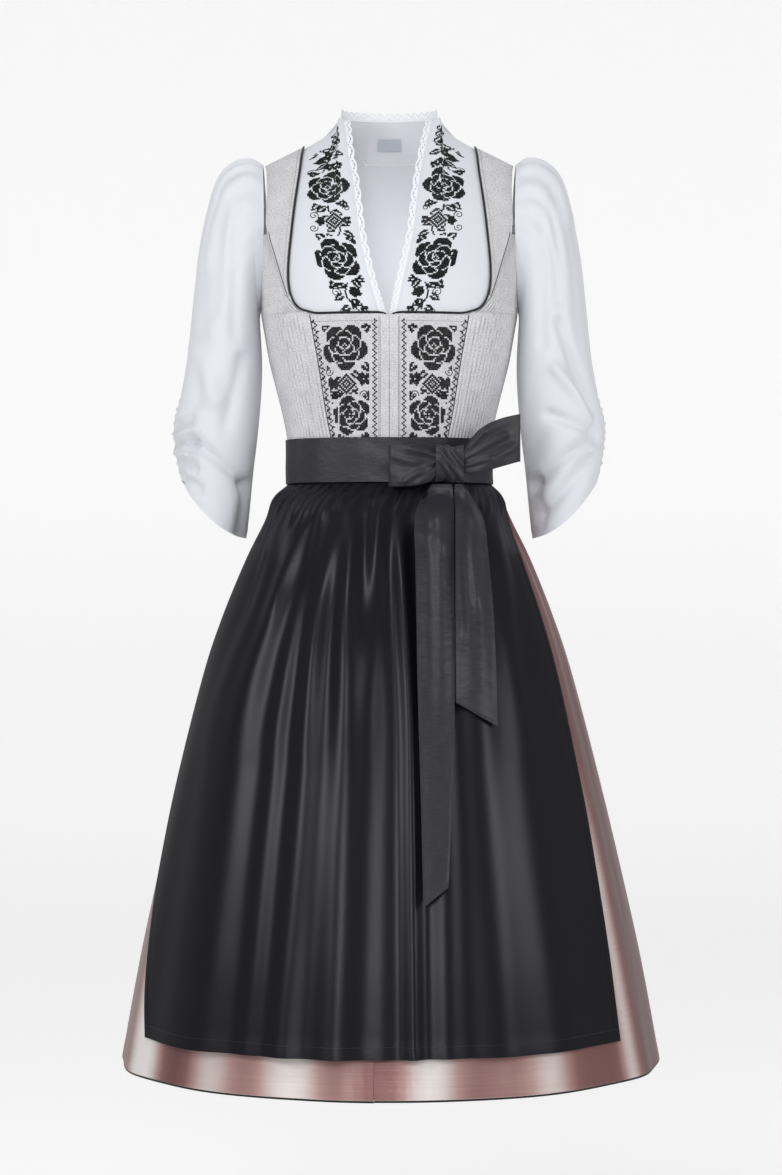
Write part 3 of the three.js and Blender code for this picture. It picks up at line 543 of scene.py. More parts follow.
def lozenge(chart, row, col, radius):
    """Nested diamonds on a bare ground."""
    j, i = np.indices(chart.shape)
    away = np.abs(j - row) + np.abs(i - col)
    chart[away <= radius + 1] = False
    chart |= (away <= radius) & (away % 3 != 1)


def sprig(chart, row, col, radius):
    """A small blossom of five petals."""
    j, i = np.indices(chart.shape)
    away, angle = np.hypot(j - row, i - col), np.arctan2(j - row, i - col)
    chart |= (away < radius * (0.6 + 0.4 * np.abs(np.cos(2.5 * angle)))) & (away > 0.6)


def garland(chart, start, end, col, sway):
    """A waving stem with a leaf at every fourth row, to the one side and the other in turn."""
    for row in range(start, end):
        middle = col + sway * math.sin(row / 5)
        chart[row, int(round(middle))] = True
        if row % 4 == 0:
            turned = 0.55 if row % 8 else math.pi - 0.55
            leaf(chart, row + 1, middle + 1.5 * math.cos(turned), 9, 2.3, turned)


def crosses(name, side, cells, spot_of, lift, curls):
    """One piece of two short threads that cross in each worked cell of a chart, and of curls in
    back stitch, which wind in on themselves."""
    rows, columns = cells

    def at(j, i):
        return surface(side, *spot_of(j + 0.5, i + 0.5), lift)

    starts, ends, ways = [], [], []
    for slant in (CROSS_REACH, -CROSS_REACH):
        begin, way = at(rows - CROSS_REACH, columns - slant)
        starts, ends = [*starts, begin], [*ends, at(rows + CROSS_REACH, columns + slant)[0]]
        ways.append(way)
    t = np.linspace(0, 1, 20)
    for row, col, radius, turned, way in curls:
        angle, r = turned + way * t * 8.5, radius * (1 - 0.8 * t)
        line, out = at(row + r * np.sin(angle), col + r * np.cos(angle))
        starts, ends, ways = [*starts, line[:-1]], [*ends, line[1:]], [*ways, out[1:]]
    made = threads(name, *map(np.concatenate, (starts, ends, ways)), THREAD_WIDTH, THREAD_HEIGHT)
    piece(made, stitch_cotton, "piping")


FRONT_LEAVES = [
    # row, column, length, width, direction
    (26, 30, 9, 2.8, 0.9), (27, 10, 8, 2.6, 2.2), (9, 29, 8, 3.0, -0.6), (9, 11, 8, 3.0, -2.5),
    (33, 20, 7, 2.2, -0.9), (33, 18, 7, 2.2, -2.3), (46, 20, 7, 2.2, 0.7), (46, 17, 7, 2.2, 2.5),
    (18, 33, 6, 2.2, 0.1), (50, 25, 8, 2.4, -0.6), (69, 22, 8, 2.4, 0.9), (71, 10, 7, 2.2, 2.0),
]
FRONT_CURLS = [
    # row, column, radius, start, way
    (48.5, 27, 3, 3.0, 1), (33.5, 31, 2.6, 3.4, -1), (48, 8.5, 3, 0.2, -1),
]
for name, side in SIDES:
    # The chart counts rows down from the neckline and columns out from the placket.
    chart = np.zeros((90, 44), bool)
    garland(chart, 30, 84, 19, 2)
    for row, col, length, width, turned in FRONT_LEAVES:
        leaf(chart, row, col, length, width, turned)
    wreath(chart, 61, 17, 12.5, 1.2)
    rose(chart, 18, 21, 14.5, 0.4)
    rose(chart, 61, 17, 12.5, 1.2)
    lozenge(chart, 41, 20, 6)
    for row, col, radius in ((38, 9, 4.4), (41, 29, 4.4), (78, 8, 4), (80, 18, 4)):
        sprig(chart, row, col, radius)
    j, i = np.indices(chart.shape)
    edge_columns = (neck_line(place_at(PANEL_TOP - j * CROSS)) - 1.5 - PANEL_EDGE) / CROSS
    chart &= (i > 4) & (i < edge_columns - 4.5)
    # Zigzag borders up the placket side and the outer side of the panel.
    for away in (i, edge_columns - i):
        zig = 0.7 + np.abs((j % 4) - 2)
        chart |= (np.abs(away - zig) < 0.6) & (away >= 0)
    chart &= (i < edge_columns) & (j >= 1) & (j < 78)
    crosses(f"front_embroidery_{name}", side, np.nonzero(chart), lambda r, c: (
        PANEL_EDGE + c * CROSS, place_at(PANEL_TOP - r * CROSS)), 0.1, FRONT_CURLS)

# Blouse. White cotton satin, smooth with a low sheen: two fronts under the bodice, a back cut
# low at the neck, a stand collar, all stitched in white.
BLOUSE_CLOTH = 1.2
UNDER_BODICE = -(BODICE_CLOTH + 0.7)
BACK_LIFT = UNDER_BODICE - 0.7
blouse_edge_column = column("edge")
blouse_back_neck = column("blouse_neck", BLOUSE_NECK_ROW)


def noise_bump(tree, vector, cells, detail, strength, distance, under=None, roughness=0.5):
    """Unevenness with so many cells a metre across and down the cloth, raised as a bump over
    another one. Gives the bump's direction and the unevenness itself."""
    drawn = add_node(tree, "ShaderNodeMapping", {"Vector": vector, "Scale": (*cells, 1)})
    uneven = add_node(tree, "ShaderNodeTexNoise", {
        "Vector": drawn.outputs["Vector"], "Scale": 1.0, "Detail": detail, "Roughness": roughness})
    uneven = uneven.outputs["Fac"]
    bump = add_node(tree, "ShaderNodeBump", {
        "Height": uneven, "Strength": strength, "Distance": distance, "Normal": under})
    return bump.outputs["Normal"], uneven


# Cotton satin: its long floats of thread lie smooth, so folds shade softly and their crests have a
# low sheen, with faint creases from wear.
white_satin = new_material("white_cotton_satin", "#d0d2d9", 0.48, sheen=0.35, specular=0.4)
tree, inputs, cloth_map = opened(white_satin)
creased, _ = noise_bump(tree, cloth_map, (26, 26), 3, 0.35, 0.004, roughness=0.45)
tree.links.new(weave_bump(tree, cloth_map, 0.4, 0.12, 0.0002, creased), inputs["Normal"])
BLOUSE_SORT = BLOUSE_CLOTH, white_satin, "blouse_cotton"
# White thread: it shows only by the small shadow that each stitch throws.
white_thread = new_material("white_sewing_thread", "#c9ccd4", 0.6, sheen=0.2)


def blouse_edge(place, side):
    """The front edge of the blouse, which lies a little to the left where it is open."""
    edge, place = blouse_edge_column(place), np.asarray(place)
    near_ridge = (RIDGE - place) / (RIDGE - BLOUSE_NECK_ROW)
    open_share = np.clip(edge / 20, 0, 1) * np.where(place > BLOUSE_NECK_ROW, near_ridge, 1)
    return np.maximum(edge - 4 * side * open_share, 0.1)


for name, side in SIDES:
    grid = torso_panel(
        lambda p: blouse_edge(p, side), side_edge, BLOUSE_HEM_ROW, RIDGE, side, False, 50, 84)
    made = sewn(f"blouse_front_{name}", grid, BLOUSE_SORT,
                lift=UNDER_BODICE, flip=side < 0, past=1)

# The blouse's back: the cells between its neck lines are left out above the neck row.
ROW_CELLS, NECK_CELLS = 6, 12
place = np.arange(BLOUSE_HEM_ROW * ROW_CELLS, RIDGE * ROW_CELLS + 2)[:, None] / ROW_CELLS
neck, edge = angle_of(blouse_back_neck(place), place), angle_of(side_edge(place), place)
inside = neck * np.linspace(0, 1, NECK_CELLS + 1)
beyond = blend(neck, edge, np.linspace(0, 1, 34)[1:])
out = out_at(np.concatenate([inside, beyond], 1), place)
grid = torso(np.concatenate([out[:, ::-1], -out[:, 1:]], 1), place, True)
cells = grid.shape[1] - 1
middle = np.abs(np.arange(cells) + 0.5 - cells / 2) < NECK_CELLS
above = np.arange(len(place) - 2)[:, None] >= (BLOUSE_NECK_ROW - BLOUSE_HEM_ROW) * ROW_CELLS
made = sewn("blouse_back", grid, BLOUSE_SORT, lift=BACK_LIFT, keep=~(middle & above), past=1)


def neck_base(turn):
    """Where the back of the blouse ends at the neck, for a turn from -1 to 1 round it."""
    reach = np.abs(turn) * 4
    place = np.where(reach < 1, BLOUSE_NECK_ROW, BLOUSE_NECK_ROW - 1 + reach)
    out = np.where(reach < 1, 30 * reach, blouse_back_neck(place)) * np.sign(turn)
    return surface(1, out, place, BACK_LIFT, True)[0] + (0, 0.4, 0.45)


def collar_top(turn):
    angle = turn * np.pi / 2
    return np.stack([60 * np.sin(angle), 57 * np.cos(angle) + 1, 52.5 + 3 * np.cos(angle)], -1)


turn = np.linspace(1, -1, 90)
up = np.linspace(0, 1, 24)[:, None, None]
grid = blend(neck_base(turn)[None], collar_top(turn)[None], up)
# The collar's halves meet in a seam at the middle of the back.
seam_dip = -0.8 * bell(turn * 94, 1.2)
made = sewn("collar", grid, BLOUSE_SORT, lift=seam_dip + 0 * up[..., 0], plain=0)

lines = []
for name, side in SIDES:
    place = np.linspace(NECK_ROW, RIDGE - 0.6, 90)
    lines.append(surface(side, blouse_edge(place, side) + 2.4, place, UNDER_BODICE + 0.1))
inner = np.stack([np.sin(turn * np.pi / 2), np.cos(turn * np.pi / 2), 0 * turn], 1)
for share in (0.06, 0.94):
    spots = blend(neck_base(turn), collar_top(turn), share)
    lines.append((spots + inner * 0.1, inner))
made = threads("blouse_topstitching", *stitches(lines, 2.6, 1.8), 0.35, 0.22)
piece(made, white_thread, "blouse_cotton")

# Lace. Narrow cotton edging with a scalloped rim and two rounds of small eyelets, sewn along
# each front edge of the blouse and round the top of the collar.

# Knotted cotton thread: chalky white, its surface broken up by the knots and by open holes.
white_lace = new_material("white_cotton_lace", "#e4e6ec", 0.8, sheen=0.3, specular=0.3)
tree, inputs, cloth_map = opened(white_lace)
cell = add_node(tree, "ShaderNodeTexVoronoi", {"Vector": cloth_map, "Scale": 900},
                feature="DISTANCE_TO_EDGE")
knots = add_node(tree, "ShaderNodeBump", {
    "Height": cell.outputs["Distance"], "Strength": 0.7, "Distance": 0.0005}, invert=True)
tree.links.new(knots.outputs["Normal"], inputs["Normal"])
LACE_CLOTH = 0.6
# Cells of each scallop along the strip, and cells from its sewn edge to its rim.
SCALLOP_CELLS, DEPTH_CELLS = 18, 12
LACE_HOLES = [
    # place and half width along a scallop, place and half height out to its rim, as shares
    (0.5, 0.14, 0.62, 0.15), (0.24, 0.09, 0.46, 0.11), (0.76, 0.09, 0.46, 0.11),
    (0, 0.1, 0.3, 0.1), (1, 0.1, 0.3, 0.1),
]


def lace(name, point, scallops, width, flip, node):
    """A scalloped strip: point gives its surface for a share along and a distance out."""
    share = np.linspace(0, 1, scallops * SCALLOP_CELLS + 1)
    v = np.linspace(0, 1, DEPTH_CELLS + 1)[:, None]
    rim = 0.70 + 0.30 * np.abs(np.sin(np.pi * scallops * share)) ** 0.8
    grid = point(share + 0 * v, v * rim * width)
    phase = (np.arange(scallops * SCALLOP_CELLS) % SCALLOP_CELLS + 0.5) / SCALLOP_CELLS
    spot = (np.arange(DEPTH_CELLS)[:, None] + 0.5) / DEPTH_CELLS
    keep = np.ones((DEPTH_CELLS, len(phase)), bool)
    for along, wide, out, high in LACE_HOLES:
        keep &= np.hypot((phase - along) / wide, (spot - out) / high) >= 1
    made = cloth(name, grid, LACE_CLOTH, flip=flip, keep=keep)
    piece(made, white_lace, "lace", node)


for name, side in SIDES:
    def lace_spot(share, away):
        place = blend(NECK_ROW, RIDGE - 1, share)
        out = np.maximum(blouse_edge(place, side) - SEAM - away, 0.3)
        return surface(side, out, place, UNDER_BODICE)[0]
    lace(f"lace_front_{name}_strip", lace_spot, 20, 8, side < 0,
         f"lace_front_{name}")


def lace_round(share, away):
    spots = collar_top(blend(1, -1, share))
    spots[..., 2] += SEAM + away
    return spots


lace("lace_back_strip", lace_round, 17, 11, False, "lace_back")

# Label. A blank strip of woven tape, stitched by its ends inside the back of the collar, close
# under the collar's top.

# Woven tape: greyer and smoother than the blouse, with its ribs just to be seen.
label_tape = new_material("woven_label_tape", "#b4bac3", 0.5, sheen=0.3)
tree, inputs, cloth_map = opened(label_tape)
tree.links.new(weave_bump(tree, cloth_map, 0.7, 0.5, 0.0003), inputs["Normal"])
across = np.linspace(13, -13, 40)
down = np.linspace(37, 22, 22)[:, None]
base, top = neck_base(across / 95), collar_top(across / 95)
share = 1 - down / np.linalg.norm(top - base, axis=1)[None, :]
grid = blend(base[None], top[None], share[..., None])
grid[..., 1] -= BLOUSE_CLOTH + 0.5
made = cloth("neck_label_tape", grid, 0.8)
piece(made, label_tape, "label_cloth", "neck_label")

# Blouse embroidery. The band beside each front edge is worked in the same black cross stitch,
# with two roses, a lozenge, blossoms, leaves and curls, from the collar down into the bodice.
BAND_LEAVES = [
    # row, column, length, width, direction
    (30, 18, 9, 2.8, -0.8), (31, 8, 8, 2.6, -2.3), (56, 20, 8, 2.6, 0.7), (56, 8, 8, 2.4, 2.4),
    (86, 19, 9, 2.8, -0.7), (88, 7, 8, 2.4, -2.4), (113, 18, 9, 2.8, 0.8), (112, 8, 9, 2.6, 2.0),
    (19, 10, 8, 2.4, -1.2), (16, 12, 8, 2.4, -0.3), (68, 14, 8, 2.4, 1.2), (76, 10, 8, 2.4, -1.9),
    (126, 10, 8, 2.4, 1.2), (44, 24, 5, 2, 0.1), (101, 24, 5, 2, 0.2), (8, 8, 7, 2.2, -0.9),
]
BAND_CURLS = [
    # row, column, radius, start, way
    (34, 22, 3.2, 3.2, 1), (76, 25, 3.2, 2.6, 1), (86, 26, 3, 3.4, -1), (132, 21, 3.2, 3.0, 1),
    (145, 20, 3, 2.8, -1), (72, 3.5, 2.6, 0.2, -1),
]
for name, side in SIDES:
    chart = np.zeros((152, 29), bool)
    garland(chart, 12, 150, 12, 3)
    for row, col, length, width, turned in BAND_LEAVES:
        leaf(chart, row + 10, col, length, width, turned)
    wreath(chart, 109, 13, 13, 1.2)
    rose(chart, 53, 14, 14, 0.5)
    rose(chart, 109, 15, 15, 1.2)
    lozenge(chart, 81, 12, 6)
    for row, col, radius in (
            (81, 4, 3), (81, 21, 3.4), (22, 10, 3.6), (34, 10, 3.4), (132, 9, 3.8), (144, 6, 3)):
        sprig(chart, row, col, radius)
    for row in (3, 9, 15):
        leaf(chart, row + 4, 2, 6 + row / 5, 2.2, -0.9)
    # The band narrows to the collar at its top end.
    j, i = np.indices(chart.shape)
    chart &= i < 29 - 1.0 * np.clip(24 - j, 0, 24)
    track = np.linspace(RIDGE - 1.2, 4.6, 600)
    far = lengths(torso(side * blouse_edge(track, side), track))

    def band_spot(r, c):
        place = np.interp(r * CROSS, far, track)
        return blouse_edge(place, side) + 4.5 + c * CROSS, place

    cells = np.array(np.nonzero(chart))
    cells = cells[:, band_spot(*cells)[1] >= NECK_ROW + 0.12]
    crosses(f"band_embroidery_{name}", side, cells, band_spot, UNDER_BODICE + 0.1, BAND_CURLS)

# Sleeves. Puffed white satin, gathered to the armhole at the head, pulled up outside by a
# short ruched strip and falling to a slanting stitched hem that is lowest at the inside.
SLEEVE = np.array([
    # outer x, outer z, inner x, inner z, half depth
    (157, -7.5, 160.5, -188, 48), (172, -1, 162, -196, 52), (192, -5, 161.5, -207, 55),
    (211, -24, 160.5, -221, 57), (225, -66, 159.5, -237, 57), (236, -122, 159, -256, 56),
    (243, -184, 159.5, -280, 55), (249, -243, 161.5, -310, 54), (257, -290, 165, -346, 53),
    (266, -326, 170, -388, 52), (264, -364, 174, -430, 50), (257, -398, 178, -469, 48),
], float)
# How full each row of the head is gathered, and the rows of the ruched strip and the hem.
HEAD_SHARE = [0, 1, 0.9, 0.6, 0.3, 0.1, 0, 0, 0, 0, 0, 0]
STRIP_ROW, STRIP_END, SLEEVE_HEM_ROW = 8, 10.6, 10.74
SLEEVE_FOLDS = {
    # from x, z to x, z in the front view, half width, height
    "left": [
        (264, -330, 246, -322, 7, 5), (264, -352, 240, -352, 6, 5), (262, -374, 238, -384, 6, 5),
        (256, -394, 232, -408, 6, 4.5), (262, -341, 236, -338, 5, -3.5),
        (262, -363, 236, -369, 5, -3.5),
        (240, -352, 174, -406, 9, 6.5), (232, -366, 190, -398, 6, -3), (174, -404, 183, -461, 7, 5),
        (228, -150, 236, -300, 12, 3), (205, -60, 214, -190, 9, 2.4), (188, -70, 190, -220, 8, 2.2),
        (214, -300, 236, -236, 11, -4), (200, -330, 180, -250, 9, 3),
    ],
    "right": [
        (255, -328, 209, -206, 8, 6), (250, -322, 203, -262, 7, -4.5), (252, -338, 196, -318, 6, 4),
        (250, -346, 170, -406, 9, 6.5), (248, -360, 188, -392, 6, -3), (246, -374, 186, -440, 9, 5),
        (226, -90, 238, -260, 12, 3), (202, -50, 208, -180, 9, 2.4), (186, -80, 188, -230, 8, 2.2),
        (178, -404, 184, -455, 8, 4),
    ],
}


def ridged(x, z, lines):
    """Soft ridges and troughs over a front view, each along a line from one point to another."""
    raised = 0
    for x0, z0, x1, z1, wide, high in lines:
        t = ((x - x0) * (x1 - x0) + (z - z0) * (z1 - z0)) / ((x1 - x0) ** 2 + (z1 - z0) ** 2)
        t = np.clip(t, 0, 1)
        away = np.hypot(x - blend(x0, x1, t), z - blend(z0, z1, t))
        raised = raised + high * bell(away, wide)
    return raised


def away_from(angle, at, turn=360):
    """The angle between two directions, the shorter way round."""
    return np.mod(angle - at + 1.5 * turn, turn) - turn / 2


for name, side in SIDES:
    a = round_turns(160)[None, :]
    row = np.linspace(0, len(SLEEVE) - 1, 112)[:, None]
    out_x, out_z, in_x, in_z, deep = (curve_through(SLEEVE[:, k], row) for k in range(5))
    across = (1 + np.cos(a)) / 2
    turned = np.sin(a)
    x = blend(in_x, out_x, across) - np.clip(1 - row, 0, 1) * 4.5 * turned**2
    z = blend(in_z, out_z, across) - 14 * turned**2 * ease(row, 8, 11)
    grid = np.stack([side * x, -deep * turned + 0 * x, z], -1)
    head = np.interp(row, range(12), HEAD_SHARE) * np.clip(np.cos(a) + 0.35, 0, None)
    lift = 2.0 * head * np.cos(19 * a + 1.5 * np.sin(4 * a + side))
    front_only = ease(np.sin(a), -0.05, 0.35)
    lift += 1.6 * front_only * ridged(x, z, SLEEVE_FOLDS[name])
    # Like folds on the side that the wearer's body would hide, by angle and row.
    for angle, first, last, high in ((-0.9, 2, 9, 2.5), (-1.7, 4, 11, 3.5), (-2.4, 3, 10, 2.5)):
        away = away_from(a, angle, 2 * np.pi) - 0.12 * (row - 6)
        along = ease(row, first, first + 2) * (1 - ease(row, last, last + 1))
        lift += high * bell(away, 0.22) * along
    # The ruched strip: short folds across it, drawn up by a stitch line down its middle.
    strip = ease(row, STRIP_ROW, STRIP_ROW + 0.3) * (1 - ease(row, STRIP_END, STRIP_END + 0.3))
    strip = strip * np.exp(-away_from(a, 0.12, 2 * np.pi) ** 2 / 0.06)
    lift += strip * (3.2 * np.abs(np.sin(np.pi * (row - STRIP_ROW) * 3.9)) - 2)
    # The hem is turned in and stitched, a little thicker than the cloth above it.
    lift += 0.5 * ease(row, SLEEVE_HEM_ROW - 0.02, SLEEVE_HEM_ROW + 0.02)
    made = sewn(f"sleeve_{name}", grid, BLOUSE_SORT, lift=lift, ring=True, flip=side > 0)
    hem_row = np.argmin(np.abs(row[:, 0] - SLEEVE_HEM_ROW))
    normal = normals(grid, True, side > 0)[hem_row]
    spots = grid[hem_row] + normal * (lift[hem_row, :, None] + 0.15)
    spots, normal = np.concatenate([spots, spots[:1]]), np.concatenate([normal, normal[:1]])
    made = threads(
        f"sleeve_hem_stitching_{name}", *stitches([(spots, normal)], 2.8, 1.9), 0.35, 0.22)
    piece(made, white_thread, "blouse_cotton")

# Skirt. Shot taffeta, dusty rose one way and silver the other, its silver painted as broad bands of
# highlight down the folds, in two fronts and a back that are gathered at the waist, hang in large
# soft folds and are bound at the hem with dark piping.
SKIRT_CLOTH = 1.5
SKIRT_TOP, SKIRT_HEM = -378.6, -1112
# How far down the band's lower edge lies, where the skirt begins to open, and how far the left
# front stands over the right one.
WAIST, LAP = 402, 2.6
SKIRT = np.array([
    # height half front back power of the oval
    (-378.6, 123.4, 87.6, 87.6, 2.3), (-402, 123.8, 88.6, 88.6, 2.3), (-411, 131, 97, 99, 2.28),
    (-426, 140, 108, 116, 2.25), (-452, 152, 127, 139, 2.2), (-496, 174, 154, 170, 2.1),
    (-570, 204, 189, 207, 2.06), (-645, 228, 218, 236, 2.03), (-794, 265, 264, 278, 2),
    (-942, 298, 302, 312, 2), (-1017, 313, 319, 327, 2), (-1112, 330, 338, 346, 2),
], float)
SKIRT_FOLDS = [
    # angle from the front, half width in degrees, height
    (-168, 13, 13), (-143, 11, 15), (-120, 12, 11), (-97, 9, 8), (-70, 10, 6), (-40, 12, 4),
    (34, 13, 5), (66, 10, 8), (92, 11, 9), (117, 9, 13), (139, 12, 12), (163, 10, 15),
]


def down(table, index):
    """Reads one column of a table smoothly by height."""
    spots = np.linspace(0, len(table) - 1, 1500)
    heights, values = curve_through(table[:, 0], spots), curve_through(table[:, index], spots)
    return lambda height: np.interp(-np.asarray(height, float), -heights, values)


skirt_half, skirt_front, skirt_back, skirt_power = (down(SKIRT, k) for k in (1, 2, 3, 4))


def signed_power(value, power):
    return np.sign(value) * np.abs(value) ** power


def skirt_wave(degrees, height, own):
    """How far folds stand out: large ones, and by the share own the gathers and creases that the
    apron doesn't follow. No gathers lie under the apron, where they would only make it bulge."""
    wave = sum(high * bell(away_from(degrees, at), wide) for at, wide, high in SKIRT_FOLDS)
    from_front = np.abs(away_from(degrees, 0))
    hidden = ease(from_front, 30, 80)
    small = ease(-height, 400, 425) * (1 - ease(-height, 430, 640))
    gathers = 2.3 * np.cos(np.radians(degrees * 40) + 1.3 * np.sin(np.radians(degrees * 7)))
    # Narrow creases left by pressing and storing run a part of the way down.
    creased = 1.1 * np.cos(np.radians(degrees * 27) + 0.9 * np.sin(np.radians(degrees * 11)))
    creased = creased * ease(-height, 470, 620) * (1 - 0.7 * ease(-height, 700, 1050))
    creased = creased * ease(from_front, 62, 80)
    return (wave - 4) * ease(-height, 430, 1112) + own * (hidden * small * gathers + creased)


def skirt_form(degrees, height, outwards=0, own=1):
    """Points of the skirt at an angle from the front, moved outwards."""
    angle = np.radians(degrees)
    s, c = np.sin(angle), np.cos(angle)
    power = 2 / skirt_power(height)
    depth = np.where(c > 0, skirt_front(height), skirt_back(height))
    far = skirt_wave(degrees, height, own) + outwards
    x = skirt_half(height) * signed_power(s, power) + far * s
    y = depth * signed_power(c, power) + far * c
    return np.stack([x, -y, height + 0 * x], -1)


def lap_share(degrees, height):
    """How much of the lap shows: none at the waist, all of it near the closing edge."""
    return ease(degrees, -20, -9) * ease(-height, WAIST, 430)


# Shot taffeta, with a warp of rose and a weft of silver, a crisp shine, and fine slubs that run
# across the cloth.
# Its colour is painted: a deep rose ground, with bright silver bands of painted highlight down the
# folds.
taffeta = new_material("shot_taffeta_rose_and_silver", None, 0.36, sheen=0.2, metallic=0.25)
tree, inputs, cloth_map = opened(taffeta)
# Bands of painted silver highlight, read from an attribute of the skirt's points.
bands = add_node(tree, "ShaderNodeAttribute", attribute_name="shot_and_highlight")
ribbed, slubs = noise_bump(tree, cloth_map, (9, 420), 2, 0.3, 0.0006)
creased, _ = noise_bump(tree, cloth_map, (30, 5), 3, 0.5, 0.006, ribbed)
slubs = add_node(tree, "ShaderNodeMath", {0: slubs, 1: 0.09}, operation="MULTIPLY")
mixed = add_node(tree, "ShaderNodeMath", {
    0: bands.outputs["Fac"], 1: slubs.outputs[0]}, operation="ADD")
shot_and_highlight = add_node(tree, "ShaderNodeValToRGB", {"Fac": mixed.outputs[0]}, [
    (0.10, "#6b4543"), (0.95, "#ece6e3"), (0.35, "#875d5a"), (0.55, "#b08e89"), (0.75, "#d3c6c2")])
tree.links.new(shot_and_highlight.outputs["Color"], inputs["Base Color"])
tree.links.new(creased, inputs["Normal"])

SILVER_HIGHLIGHT_BANDS = [
    # angle, half width in degrees, how much silver highlight is painted (below zero the rose
    # deepens), and the height from which it shows down to the hem
    (-66, 8, 1.1, -700), (-52, 6, -0.3, -900), (-38, 7, 0.7, -950), (-20, 8, 1.0, -900),
    (-6, 4, 0.3, -800),
    (8, 6, 0.9, -900), (22, 7, 0.2, -800), (34, 6, 0.7, -950), (48, 8, 0.1, -900),
    (62, 4, 0.8, -740),
    (74, 6, -0.3, -620), (82, 6, -0.1, -450), (95, 6, 0.6, -520), (112, 8, 0.9, -450),
    (131, 6, 0.1, -450),
    (150, 8, 0.8, -520), (172, 7, 0.3, -450), (-172, 7, 0.6, -560), (-154, 6, 0.9, -450),
    (-133, 8, 0.2, -450),
    (-112, 7, 0.9, -520), (-92, 6, 0.4, -450), (-79, 5, 0.1, -600),
]


def shot_and_highlight_value(degrees, height):
    """How silver the taffeta looks: a rose ground, with broad bands of painted highlight down its
    folds.
    """
    value = 0.18 + 0.06 * np.sin(np.radians(degrees * 5)) + 0 * height
    for at, wide, amount, start in SILVER_HIGHLIGHT_BANDS:
        away = away_from(degrees, at + 1.5 * np.sin(height / 140 + at))
        shown = ease(-height, -start - 60, -start + 140)
        value = value + 0.7 * amount * bell(away, wide) * shown
    return np.clip(value, 0, 1)


SKIRT_PANELS = [
    # name, from and to in degrees, how far it runs under the other, columns, lap, and its flat
    # width and area
    ("skirt_front_left", -89.93, -3.2, 0, 90, LAP, 0.55, 0.31),
    ("skirt_front_right", -2.7, 89.93, 5.3, 100, 0, 0.58, 0.33),
    ("skirt_back", 90.02, 269.98, 0, 190, 0, 1.2, 0.66),
]
for name, start, end, under, columns, lap, wide, area in SKIRT_PANELS:
    height = (SKIRT_TOP + (SKIRT_HEM - SKIRT_TOP) * np.linspace(0, 1, 84) ** 1.15)[:, None]
    first = start - under * ease(-height, 426, 496)
    degrees = blend(first, end, np.linspace(0, 1, columns)[None, :])
    grid = skirt_form(degrees, height, lap * lap_share(degrees, height))
    hem = 0.35 * ease(-height, 1096, 1098) + 0 * degrees
    made = sewn(name, grid, (SKIRT_CLOTH, taffeta, "skirt_cloth"), lift=hem, plain=0, flip=True)
    # Each point keeps how much painted silver highlight it has.
    shot_and_highlight = made.data.attributes.new("shot_and_highlight", "FLOAT", "POINT")
    values = np.tile(shot_and_highlight_value(degrees, height).reshape(-1), 2)
    shot_and_highlight.data.foreach_set("value", values.astype(np.float32))
# The piping runs once round the hem, from the closing edge back to it.
degrees = np.arange(-3, -364, -1.5)
lap = np.where(degrees > -17, LAP * lap_share(degrees, SKIRT_HEM), 0)
line = skirt_form(degrees, np.full_like(degrees, SKIRT_HEM), lap - 0.7)
line[:, 2] = SKIRT_HEM - 1.5
made = tube("skirt_hem_piping_cord", line, 1.2)
piece(made, piping_cotton, "piping", "skirt_hem_piping")

# Apron. Charcoal satin gathered to the band in 27 uneven gathers, with large folds that open
# down to a narrow stitched hem. It covers the left side and leaves the right side bare.
APRON_CLOTH = 1.2
APRON_TOP, APRON_HEM = -386, -1066
APRON_EDGES = np.array([
    # height, and the left and right edge in degrees from the front
    (-386, -97, 92), (-402, -97, 90), (-424, -96, 78), (-476, -94, 66), (-570, -92, 62.5),
    (-719, -90, 61), (-794, -87, 60.5), (-868, -80, 59.5), (-942, -72, 58.5), (-1017, -67, 57.5),
    (-1066, -63, 57),
], float)
APRON_FOLDS = [
    # place across at the waist, the middle and the hem, start, half width, height
    (-112, -205, -250, -430, 30, 6), (-96, -172, -212, -430, 38, 12),
    (-78, -128, -158, -420, 18, 7),
    (-60, -92, -118, -415, 28, 13), (-38, -50, -62, -410, 34, 13), (-12, -4, -10, -410, 20, 3),
    (10, 24, 27, -410, 13, 9), (44, 60, 66, -420, 20, 6), (72, 104, 128, -430, 38, 8),
    (96, 150, 190, -440, 34, 5),
]
APRON_TUCKS = [
    # place across at the waist and at the end, how far down the end is, half width, height
    (-122, -152, -560, 8, 6), (-104, -130, -660, 10, 8), (-88, -114, -600, 7, 6),
    (-71, -98, -690, 9, 9),
    (-50, -58, -700, 11, 10), (-8, -36, -700, 9, 9),
    (84, 104, -620, 10, 7), (104, 130, -560, 9, 6), (118, 150, -650, 7, 5),
]
# The heights of the folds' middle and end as the table takes them.
FOLD_MIDDLE, FOLD_END = -740, -1066
GATHERS = 27
gather_at = (np.arange(GATHERS) + 0.5 + 0.25 * np.sin(7.3 * np.arange(GATHERS))) / GATHERS
apron_left, apron_right = down(APRON_EDGES, 1), down(APRON_EDGES, 2)


